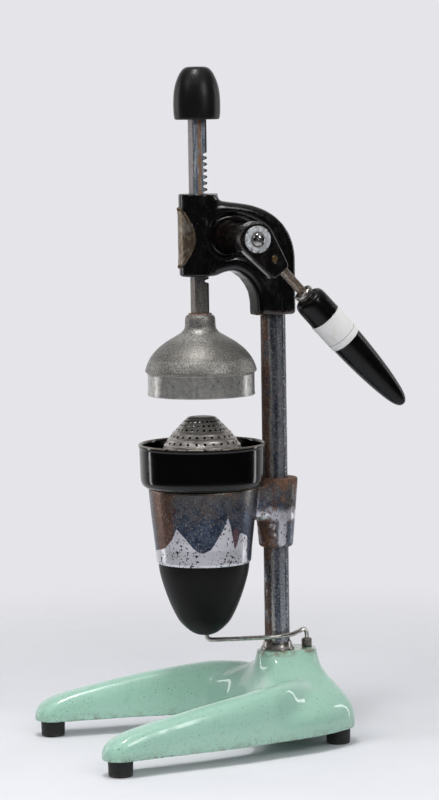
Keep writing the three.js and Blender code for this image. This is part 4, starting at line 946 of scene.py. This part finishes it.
smooth(ring, 4)
smooth(ring, 22, arm_near)
set_points(ring, back_on_form)
wear(ring, 3)
inner = lathe("t3", [(0, 180), (46.15 - 6 * 5.65 / 76, 180), (46.15 + 84 * 5.65 / 76, 270), (0, 270)], AT_PRESS, 160)
bore = lathe("t4", [(0, 190), (13, 190), (13, 275), (0, 275)], AT_COLUMN, 72)
env = lathe("t5", [(0, 261.98), (54.6, 261.98), (58.4, 262.4), (61.2, 264.8), (63, 268), (63.4, 280), (0, 280)], AT_PRESS, 128)
screw_way = lathe("t6", [(0, -40), (3.3, -40), (3.3, -10), (0, -10)], T(0, COLUMN[1], 250) @ ALONG_X, 32)
boolean(ring, [inner, bore, env, screw_way])
finish_mesh(ring, 42)
wear_it(ring, HOLDER_M, "stand", "worn_chrome", "funnel_holder")

# ---------------------------------------------------------------- funnel, bowl
F_OUT = [(8, 112.6), (12.6, 114.6), (19.2, 119.6), (25.4, 126.2), (30.1, 134.4), (34.7, 144.6), (38.95, 156), (42.4, 167.1), (44.8, 177), (45.8, 185.2)]
F_IN = [(43.4, 186), (42.3, 177), (39.8, 167.1), (36.2, 156), (31.9, 144.6), (27, 134.4), (21.6, 126.4), (15, 120.4), (9, 117.2), (6, 116)]
prof = [(6, 112.8)] + curved(F_OUT, 5) + [(45.85, 186), (50.11, 246), (47.81, 246)] + curved(F_IN, 4)
o = lathe("juice_funnel", rounded(prof, 0.4, True, 40), AT_PRESS, 128, True)
wear_it(finish_mesh(o, 45), FUNNEL_M, "stand", "black_plastic", "lower_funnel")

prof = [
    (15, 262.7), (47.4, 262.7), (47.4, 252.5), (50.0, 252.5), (50.2, 262.3), (54.2, 262.3), (58.0, 263.2), (60.7, 265.5), (62.1, 268.8),
    (62.6, 273), (63.3, 302.0), (64.0, 303.6), (64.0, 305.6), (63.4, 306.5), (62.2, 306.6), (61.2, 306.1), (60.5, 304.6), (60.3, 302), (60.1, 270.9), (56.4, 270.9), (54.6, 266.6), (50, 265.7), (15, 265.7),
]
o = lathe("juice_bowl", rounded(prof, 0.7, True, 12, 3), AT_PRESS, 144, True)
wear_it(finish_mesh(o, 48), BOWL, "stand", "bowl_enamel", "catch_bowl")

# ---------------------------------------------------------------- perforated cone with pressed hoops
OUT = curved([(0, 333.0), (6, 333.2), (11.2, 333.1), (14.2, 332.3), (16.6, 330.2), (21.6, 325.2), (25.6, 321), (32.7, 312.7), (39, 302.7), (43, 292), (45.4, 279), (46.2, 274.6)], 9)


def hoop(z):
    return sum(0.8 * math.exp(-(((z - c) / 1.05) ** 2)) for c in (317.7, 311.3, 304.9, 298.4))


outer = [(r + hoop(z) if r > 1 else r, z) for r, z in OUT]
innr = []
for i, (r, z) in enumerate(outer):
    a = np.array(outer[max(0, i - 1)])
    b = np.array(outer[min(len(outer) - 1, i + 1)])
    t = (b - a) / np.linalg.norm(b - a)
    innr.append((max(0.0, r + t[1] * 0.8), z - t[0] * 0.8))
innr[0] = (0.0, innr[0][1])
prof = outer + [(46.6, 272.9), (47.6, 272.3), (59.2, 272.2), (59.4, 271.7), (59.2, 271.2), (46.0, 271.2)] + innr[::-1]
cone = lathe("press_cone", prof, AT_PRESS, 156)
hz = np.array([z for r, z in outer])[::-1]
hr = np.array([r for r, z in outer])[::-1]
drills = []
for row, z in enumerate([329.2, 325.2, 321.2, 314.5, 308.1, 301.7, 295.2, 288.6]):
    rad = float(np.interp(z, hz, hr))
    tilt = math.atan2(float(np.interp(z - 1.5, hz, hr) - np.interp(z + 1.5, hz, hr)), 3)
    hole = 1.3 if row < 3 else 1.45
    n = 26
    for i in range(n):
        ang = TAU * i / n + math.radians(-20.5 + 5.0)
        place = AT_PRESS @ Matrix.Rotation(ang, 4, "Z") @ T(rad, 0, z) @ Matrix.Rotation(math.pi / 2 - tilt, 4, "Y")
        drills.append(lathe("d", [(0, -2.2), (hole, -2.2), (hole, 2.2), (0, 2.2)], place, 12))
boolean(cone, [joined("drills", drills)])
finish_mesh(cone, 38)
wear_it(cone, CONE_M, "stand", "stainless", "strainer_cone")
# the painted-shade material goes on hole walls and on faces turned inward
cone.data.materials.append(CONE_HOLE_SHADE)
for poly in cone.data.polygons:
    c = poly.center * 1000
    dx, dy = c.x, c.y - PRESS[1]
    r = math.hypot(dx, dy)
    if c.z < 273.0:
        continue
    i = int(np.clip(np.searchsorted(hz, c.z), 1, len(hz) - 1))
    slope = (hr[i] - hr[i - 1]) / max(1e-6, hz[i] - hz[i - 1])
    n = np.array([1.0, -slope]) / math.hypot(1, slope)
    if r > 1:
        got = (poly.normal.x * dx + poly.normal.y * dy) / r * n[0] + poly.normal.z * n[1]
    else:
        got = poly.normal.z
    if got < 0.55:
        poly.material_index = 1

# ---------------------------------------------------------------- drip wire and its collar
WX, WY = 3, 31
line = [
    (WX, WY, 80), (WX, WY, 92), (WX, WY, 104), (WX + 0.3, WY - 0.8, 108.2), (WX + 2.4, WY - 4.2, 110.4),
    (WX + 8, WY - 12, 109.6), (15.6, 9, 107.8), (17.6, -4, 107.2), (16.2, -20, 107), (9.6, -46, 106.6),
    (3.6, -67, 106.4), (2.2, -72, 106.5), (1.0, -75.2, 107.6), (0.6, -76.4, 109.4), (0.5, -76.7, 111.4),
]
path = [Vector(p) + Vector((0, OFF, 0)) for p in curved(line, 9)]
verts, faces = [], []
seg, R = 20, 2.3
side = Vector((1, 0, 0))
rings = []
for i, p in enumerate(path):
    d = (path[min(i + 1, len(path) - 1)] - path[max(i - 1, 0)]).normalized()
    side = (side - d * side.dot(d)).normalized()
    up = d.cross(side)
    rings.append((p, side.copy(), up, d))
sizes = [(R, 0.0)] * len(rings)
for i, (p, s, u, d) in enumerate(rings):
    verts += [p + (s * math.cos(TAU * k / seg) + u * math.sin(TAU * k / seg)) * R for k in range(seg)]
for e, (r, back) in ((-1, (1.9, 0.5)), (-1, (1.2, 0.8))):
    p, s, u, d = rings[e]
    verts += [p + d * (back - 0.8) + (s * math.cos(TAU * k / seg) + u * math.sin(TAU * k / seg)) * r for k in range(seg)]
rows = len(verts) // seg
for i in range(rows - 1):
    for k in range(seg):
        a, b = i * seg + k, i * seg + (k + 1) % seg
        faces.append((a, b, b + seg, a + seg))
faces.append(tuple(range(seg))[::-1])
faces.append(tuple(range((rows - 1) * seg, rows * seg)))
# the last ring of the wire itself sits just under the rounded end
for k in range(seg):
    verts[(rows - 3) * seg + k] = verts[(rows - 3) * seg + k] - rings[-1][3] * 0.9
o = make("drip_wire_rod", verts, faces)
wear_it(finish_mesh(o, 50), WIRE_M, "drip_wire", "stainless", "drip_wire")
o = lathe("wire_socket", rounded([(2.6, 91.8), (5.3, 91.8), (5.3, 99.4), (4.4, 100.8), (2.6, 100.8)], 0.6, True), T(3, COLUMN[1] + 31), 40, True)
wear_it(finish_mesh(o, 45), STEEL_M, "stand", "plain_steel", "wire_collar")

# ---------------------------------------------------------------- head casting
head = voxels(copied("head_shell", "head_casting"), 0.85)


def head_soft(v):
    x, y, z = v[:, 0], v[:, 1], v[:, 2]
    r = np.hypot(y - PIN[0], z - PIN[1])
    inner_bore = (np.abs(x) < 9.5) & (np.abs(y - PRESS[1]) < 9.5)
    wt = np.clip((x - 4) / 5, 0, 1) * (x < 26) * np.clip((y - (PRESS[1] + 2)) / 6, 0, 1)
    wt = wt * np.clip((r - 9) / 4, 0, 1)
    return wt * ~inner_bore


def head_blend(v):
    """Where guide, arm and socket run into each other."""
    x, y, z = v[:, 0], v[:, 1], v[:, 2]
    dg = np.hypot(x, y - PRESS[1])
    ds = np.hypot(x, y - COLUMN[1])
    a = np.clip(1 - np.abs(dg - 20.5) / 7, 0, 1) * (y > PRESS[1] + 3)
    b = np.clip(1 - np.abs(ds - 20.5) / 7, 0, 1) * (z > 440) * (y < COLUMN[1] + 2)
    keep = (x > -19.5) * (dg > 14) * (ds > 14.5)
    return np.clip(a + b, 0, 1) * keep * (z < 553) * (z > 436)


smooth(head, 3)
smooth(head, 44, head_soft)
smooth(head, 24, head_blend)
wear(head, 3)
finish_mesh(head, weighted=False)
wear_it(head, HEAD, "stand", "black_enamel", "head_casting")
o = refined("gear_lid", "gear_cover", 0.5, 3)
wear_it(o, HEAD, "stand", "black_enamel", "gear_cover")
for n in ("cover_screw_1", "cover_screw_2", "cover_screw_3", "head_screw", "holder_screw"):
    wear_it(refined(n + "_soft", n, 0.2, 2), STEEL_M, "stand", "plain_steel", n)

# nameplate: a thin curved oval with a raised border
verts, faces = [], []
NR, NA = 14, 72
front, back = [], []
for shell in (0, 1):
    for i in range(NR + 1):
        t = i / NR
        for k in range(NA if i else 1):
            a = TAU * k / NA
            x, z = t * 17.75 * math.cos(a), 512.5 + t * 29.8 * math.sin(a)
            lift = 0.0
            if shell:
                lift = 0.62 + 0.38 * math.exp(-(((t - 0.915) / 0.035) ** 2)) - (0.35 if i == NR else 0)
                # two small dimples round the rivets
                for rz in (541, 484):
                    lift += 0.18 * math.exp(-((math.hypot(x, z - rz) - 3.4) / 0.8) ** 2)
            r = 20.3 + lift
            verts.append((x, PRESS[1] - math.sqrt(max(0.0, r * r - x * x)), z))
per = 1 + NR * NA
for shell in (0, 1):
    o0 = shell * per
    for i in range(NR):
        for k in range(NA):
            j = (k + 1) % NA
            if i == 0:
                faces.append((o0, o0 + 1 + k, o0 + 1 + j))
            else:
                a = o0 + 1 + (i - 1) * NA
                faces.append((a + k, a + NA + k, a + NA + j, a + j))
for k in range(NA):
    j = (k + 1) % NA
    a, b = 1 + (NR - 1) * NA, per + 1 + (NR - 1) * NA
    faces.append((a + k, b + k, b + j, a + j))
o = make("blank_plate", verts, faces)
holes = [lathe("t", [(0, -26), (1.4, -26), (1.4, -14), (0, -14)], T(PRESS[0], PRESS[1], z) @ ALONG_Y, 16) for z in (541, 484)]
boolean(o, holes)
wear_it(finish_mesh(o, 50), PLATE_M, "stand", "aged_brass", "nameplate")
for n, z in (("rivet_top", 541), ("rivet_bottom", 484)):
    prof = [(0, -22.95), (0.8, -22.85), (1.5, -22.5), (2.0, -21.95), (2.2, -21.45), (1.1, -21.4), (1.1, -16), (0, -16)]
    o = lathe(n + "_dome", prof, T(PRESS[0], PRESS[1], z) @ ALONG_Y, 32)
    wear_it(finish_mesh(o, 50), BRASS_M, "stand", "aged_brass", n)

# ---------------------------------------------------------------- rack, cap, bell
wear_it(refined("rack_soft", "rack_bar", 0.3, 2, 34, 40), RACK_M, "press", "worn_chrome", "rack_bar")
CAP = [(20.6, 629.5), (21.9, 629.9), (22.6, 631.2), (22.9, 633), (23.2, 636), (23.4, 642), (23.3, 648.8), (22.7, 656.7), (21.1, 664.6), (18.2, 672.4), (15.6, 676.9), (12.6, 680.1), (9.5, 681.5), (5, 681.88), (0, 681.9)]
o = lathe("knob_cap", [(0, 629.5)] + curved(CAP, 5), AT_PRESS, 112)
boolean(o, [box_mesh("t", (-7.85, PRESS[1] - 7.85, 620), (7.85, PRESS[1] + 7.85, 656))])
wear_it(finish_mesh(o, 45), CAP_M, "press", "black_plastic", "rack_cap")

up = curved([(15.3, 427), (15.8, 422.4), (18.6, 418.2), (26.4, 413.3), (35, 408), (43.4, 401.4), (49.6, 394.2), (53.6, 387), (55.6, 381.2)], 6)
dn = curved([(50.3, 376), (48.4, 386), (43.2, 395), (34.8, 403), (24, 409), (12, 413.0)], 5)
prof = (
    [(6.3, 436.9), (11.5, 436.9), (11.9, 435.4), (13.6, 434.6), (14.8, 432.8), (15.2, 430)]
    + up
    + [(55.9, 379.9), (55.8, 378.9), (54.6, 378.0), (53.8, 377.2), (53.55, 375.6), (53.5, 359), (53.9, 356.4), (53.7, 355.3), (53.2, 355.0), (50.9, 355.0), (50.6, 355.6)]
    + dn
    + [(8.2, 414), (3.5, 414), (3.5, 420), (6.3, 420)]
)
o = lathe("press_dome", rounded(prof, 0.5, True, 30, 3), AT_PRESS, 144, True)
wear_it(finish_mesh(o, 48), BELL_M, "press", "cast_aluminium", "press_bell")
wear_it(refined("bell_screw_soft", "bell_screw", 0.2, 2), STEEL_M, "press", "plain_steel", "bell_screw")

# ---------------------------------------------------------------- lever
hub = voxels(copied("lever_arm", "lever_hub"), 0.5)
smooth(hub, 4)
wear(hub, 2)
finish_mesh(hub, weighted=False)
wear_it(hub, HUB, "lever", "black_enamel", "lever_hub")
o = lathe("washer_disc", rounded([(3.5, 90.5), (13.3, 90.5), (13.3, 92.4), (3.5, 92.4)], 0.5, True), AT_PIN, 80, True)
wear_it(finish_mesh(o, 45), WASHER_M, "lever", "zinc", "lever_washer")
o = lathe("pivot_screw", [(0, 72), (3.1, 72), (3.1, 92.7), (6.3, 92.7), (6.7, 93.1), (6.7, 94.1), (6.4, 95.0), (5.6, 95.9), (4.3, 96.6), (2.6, 97.2), (0, 97.4)], AT_PIN, 56)
slot_place = T(0, PIN[0], PIN[1]) @ Matrix.Rotation(-math.radians(48), 4, "X")
boolean(o, [box_mesh("t", (94.3, -12, -0.9), (101, 12, 0.9), slot_place)])
m = o.modifiers.new("bevel", "BEVEL")
m.width, m.segments, m.limit_method, m.angle_limit = 0.00022, 2, "ANGLE", math.radians(40)
baked(o)
wear_it(finish_mesh(o, 40), PIVOT_M, "lever", "zinc", "lever_screw")
wear_it(refined("grub_soft", "lever_grub", 0.15, 2), BRASS_M, "lever", "aged_brass", "lever_grub")
o = lathe("lever_rod", rounded([(0, 18.6), (4.7, 18.6), (4.7, 126), (0, 126)], 0.4), ON_LEVER, 40)
wear_it(finish_mesh(o, 45), ROD_M, "lever", "plain_steel", "handle_rod")
o = lathe("locking_nut", rounded([(5.0, 72), (8.4, 72), (9.6, 73.0), (9.6, 76.2), (8.6, 77.2), (5.0, 77.2)], 0.4, True), ON_LEVER, 56, True)
wear_it(finish_mesh(o, 45), NUT_M, "lever", "zinc", "grip_nut")
o = lathe("ferrule_ring", rounded([(5.0, 77.5), (8, 77.5), (8, 79.7), (5.0, 79.7)], 0.3, True), ON_LEVER, 56, True)
wear_it(finish_mesh(o, 45), STEEL_M, "lever", "plain_steel", "grip_ferrule")
GRIP = [(12.2, 80), (14.4, 81.4), (15.6, 83.6), (16.2, 87), (16.4, 95), (16.4, 125), (15.8, 150), (14.7, 170), (13.5, 185), (12.1, 198), (10.5, 209), (8.6, 218.6), (6.2, 225.4), (3.2, 229.2), (0, 230)]
grip_profile = curved(GRIP, 6)
o = lathe("grip_body", [(0, 130), (5.0, 130), (5.0, 80), (11.6, 79.9)] + grip_profile, ON_LEVER, 96)
wear_it(finish_mesh(o, 45), GRIP_M, "lever", "black_plastic", "handle_grip")

# paper label wrapped most of the way round the grip
gs = np.array([s for r, s in grip_profile])
gr = np.array([r for r, s in grip_profile])
NA, NS = 84, 16
half_gap = math.radians(30)
verts, faces = [], []
for shell in (0, 1):
    for i in range(NA + 1):
        u = i / NA
        ang = math.pi + half_gap + (TAU - 2 * half_gap) * u
        arc = min(u, 1 - u) * (TAU - 2 * half_gap) * 16.4
        trim = 0.0 if arc > 4 else 4 - math.sqrt(max(0.0, 16 - (4 - arc) ** 2))
        for k in range(NS + 1):
            s = 107 + trim + (32 - 2 * trim) * k / NS
            lift = 0.08 * math.sin(ang * 3 + s * 0.2) + 0.06 * math.sin(s * 0.9)
            lift += 0.1 * max(0.0, 1 - arc / 3)
            r = float(np.interp(s, gs, gr)) + (0.1 if shell == 0 else 0.48 + 0.5 * lift)
            verts.append((r * math.cos(ang), r * math.sin(ang), s))
per = (NA + 1) * (NS + 1)
idx = lambda sh, i, k: sh * per + i * (NS + 1) + k
for sh in (0, 1):
    for i in range(NA):
        for k in range(NS):
            faces.append((idx(sh, i, k), idx(sh, i + 1, k), idx(sh, i + 1, k + 1), idx(sh, i, k + 1)))
for i in range(NA):
    for k in (0, NS):
        faces.append((idx(0, i, k), idx(0, i + 1, k), idx(1, i + 1, k), idx(1, i, k)))
for k in range(NS):
    for i in (0, NA):
        faces.append((idx(0, i, k), idx(0, i, k + 1), idx(1, i, k + 1), idx(1, i, k)))
o = make("blank_label", verts, faces, ON_LEVER)
wear_it(finish_mesh(o, 50), PAPER_M, "lever", "paper", "grip_label")

# ---------------------------------------------------------------- carried-over CAD nodes
for n in ["column_nut", "pinion_gear", "pinion_shaft"] + ["foot_screw_" + s for s in FEET]:
    for s in NODES[n].material_slots:
        s.material = STEEL_M
for s in NODES["shaft_bush"].material_slots:
    s.material = BRASS_M

# ---------------------------------------------------------------- floor, light, camera
a = math.radians(69.5)
p = math.radians(5.6)
roll = math.radians(0.89)
fwd = Vector((-math.sin(a) * math.cos(p), math.cos(a) * math.cos(p), -math.sin(p)))
right = Vector((math.cos(a), math.sin(a), 0))
up = right.cross(fwd)
cam_right = right * math.cos(roll) - up * math.sin(roll)
cam_up = up * math.cos(roll) + right * math.sin(roll)
cam = bpy.data.objects.new("camera", bpy.data.cameras.new("camera"))
scene.collection.objects.link(cam)
cam.matrix_world = Matrix((
    (cam_right.x, cam_up.x, -fwd.x, 2.9949),
    (cam_right.y, cam_up.y, -fwd.y, -1.1195),
    (cam_right.z, cam_up.z, -fwd.z, 0.6621),
    (0, 0, 0, 1),
))
cam.data.lens = 144.0
cam.data.sensor_width = 36.0
cam.data.clip_start, cam.data.clip_end = 0.05, 60
scene.camera = cam

FLOOR_R = 2.4
verts = [(0, 0, 0)]
faces = []
NSEG, NRING = 96, 24
for i in range(1, NRING + 1):
    r = 2400 * (i / NRING) ** 1.5
    for k in range(NSEG):
        t = TAU * k / NSEG
        verts.append((r * math.cos(t), r * math.sin(t), 0))
for k in range(NSEG):
    faces.append((0, 1 + k, 1 + (k + 1) % NSEG))
for i in range(NRING - 1):
    for k in range(NSEG):
        q, w = 1 + i * NSEG + k, 1 + i * NSEG + (k + 1) % NSEG
        faces.append((q, w, w + NSEG, q + NSEG))
floor = make("floor", verts, faces, T(0, 0, -0.4))
m = Mat("floor_cloth")
x, y, z = m.xyz()
n = m.nt.nodes.new("ShaderNodeVectorMath")
n.operation = "LENGTH"
m.put(m.co, n.inputs[0])
fade = m.step(n.outputs["Value"], 0.35, 1.1)
tone = m.mix(m.noise(90, 3, 0.5), C(215, 216, 220), C(222, 223, 227))
m.set(color=tone, rough=0.9, normal=m.bump(m.noise(70, 3, 0.5), 0.12, 6.0), spec=0.1)
tr = m.nt.nodes.new("ShaderNodeBsdfTransparent")
ms = m.nt.nodes.new("ShaderNodeMixShader")
m.put(fade, ms.inputs[0])
m.nt.links.new(m.b.outputs[0], ms.inputs[1])
m.nt.links.new(tr.outputs[0], ms.inputs[2])
out = next(x for x in m.nt.nodes if x.type == "OUTPUT_MATERIAL")
m.nt.links.new(ms.outputs[0], out.inputs["Surface"])
floor.data.materials.append(m.mat)

world = bpy.data.worlds.new("studio")
scene.world = world
world.use_nodes = True
nt = world.node_tree
nt.nodes.clear()
wo = nt.nodes.new("ShaderNodeOutputWorld")
tc = nt.nodes.new("ShaderNodeTexCoord")
dot = nt.nodes.new("ShaderNodeVectorMath")
dot.operation = "DOT_PRODUCT"
dot.inputs[1].default_value = Vector((fwd.x, fwd.y, 0)).normalized()
nt.links.new(tc.outputs["Generated"], dot.inputs[0])
rampn = nt.nodes.new("ShaderNodeMapRange")
rampn.interpolation_type = "SMOOTHSTEP"
rampn.inputs[1].default_value, rampn.inputs[2].default_value = 0.38, 0.82
rampn.inputs[3].default_value, rampn.inputs[4].default_value = 0.0, 1.0
nt.links.new(dot.outputs["Value"], rampn.inputs[0])
sep = nt.nodes.new("ShaderNodeSeparateXYZ")
nt.links.new(tc.outputs["Generated"], sep.inputs[0])
high = nt.nodes.new("ShaderNodeMapRange")
high.interpolation_type = "SMOOTHSTEP"
high.inputs[1].default_value, high.inputs[2].default_value = 0.35, 0.9
nt.links.new(sep.outputs[2], high.inputs[0])
low = nt.nodes.new("ShaderNodeMapRange")
low.interpolation_type = "SMOOTHSTEP"
low.inputs[1].default_value, low.inputs[2].default_value = -0.2, -0.65
low.inputs[3].default_value, low.inputs[4].default_value = 0.0, 1.0
nt.links.new(sep.outputs[2], low.inputs[0])
mx = nt.nodes.new("ShaderNodeMath")
mx.operation = "MAXIMUM"
nt.links.new(rampn.outputs[0], mx.inputs[0])
mul = nt.nodes.new("ShaderNodeMath")
mul.operation = "MULTIPLY"
mul.inputs[1].default_value = 0.55
nt.links.new(high.outputs[0], mul.inputs[0])
nt.links.new(mul.outputs[0], mx.inputs[1])
mx2 = nt.nodes.new("ShaderNodeMath")
mx2.operation = "MAXIMUM"
nt.links.new(mx.outputs[0], mx2.inputs[0])
mul2 = nt.nodes.new("ShaderNodeMath")
mul2.operation = "MULTIPLY"
mul2.inputs[1].default_value = 0.8
nt.links.new(low.outputs[0], mul2.inputs[0])
nt.links.new(mul2.outputs[0], mx2.inputs[1])
room = nt.nodes.new("ShaderNodeMix")
room.data_type = "RGBA"
room.inputs[6].default_value = (0.012, 0.013, 0.016, 1)
room.inputs[7].default_value = (0.80, 0.80, 0.82, 1)
nt.links.new(mx2.outputs[0], room.inputs[0])
lit = nt.nodes.new("ShaderNodeBackground")
nt.links.new(room.outputs[2], lit.inputs["Color"])
lit.inputs["Strength"].default_value = 1.0
seen = nt.nodes.new("ShaderNodeBackground")
seen.inputs["Color"].default_value = C(229, 229, 233)
seen.inputs["Strength"].default_value = 1.0
lp = nt.nodes.new("ShaderNodeLightPath")
mxs = nt.nodes.new("ShaderNodeMixShader")
nt.links.new(lp.outputs["Is Camera Ray"], mxs.inputs[0])
nt.links.new(lit.outputs[0], mxs.inputs[1])
nt.links.new(seen.outputs[0], mxs.inputs[2])
nt.links.new(mxs.outputs[0], wo.inputs["Surface"])


def softbox(name, at, look, size, power, shiny=True, color=(1, 1, 1)):
    d = bpy.data.lights.new(name, "AREA")
    d.shape, d.size, d.size_y, d.energy, d.color = "RECTANGLE", size[0], size[1], power, color
    o = bpy.data.objects.new(name, d)
    scene.collection.objects.link(o)
    o.location = at
    o.rotation_mode = "QUATERNION"
    o.rotation_quaternion = (Vector(look) - Vector(at)).to_track_quat("-Z", "Y")
    o.visible_glossy = shiny
    return o


mid = Vector((0, 0, 0.3))
back = -fwd
softbox("strip_left", mid - right * 1.8 - back * 0.7 + Vector((0, 0, 0.25)), mid, (0.15, 1.6), 5)
softbox("strip_right", mid + right * 1.8 - back * 0.75 + Vector((0, 0, 0.25)), mid, (0.13, 1.6), 4.5)
softbox("broad_right", mid + right * 1.35 + back * 1.6 + Vector((0, 0, 0.95)), mid + Vector((0, 0, 0.1)), (0.45, 0.8), 9)
softbox("broad_left", mid - right * 1.5 + back * 1.1 + Vector((0, 0, 1.35)), mid, (0.6, 0.5), 2.5)
softbox("top_streak", Vector((0.34, -0.32, 1.95)), Vector((0.1, -0.1, 0.05)), (0.15, 0.55), 13)
softbox("key_soft", mid - right * 1.2 + back * 1.5 + Vector((0, 0, 1.3)), mid, (1.2, 1.2), 20, False)
softbox("overhead", mid + back * 0.5 + Vector((0, 0, 1.9)), mid, (1.3, 1.3), 6, False)
softbox("fill", mid + back * 2.6 + Vector((0, 0, 1.1)) + right * 0.5, mid, (0.8, 0.8), 14, False)
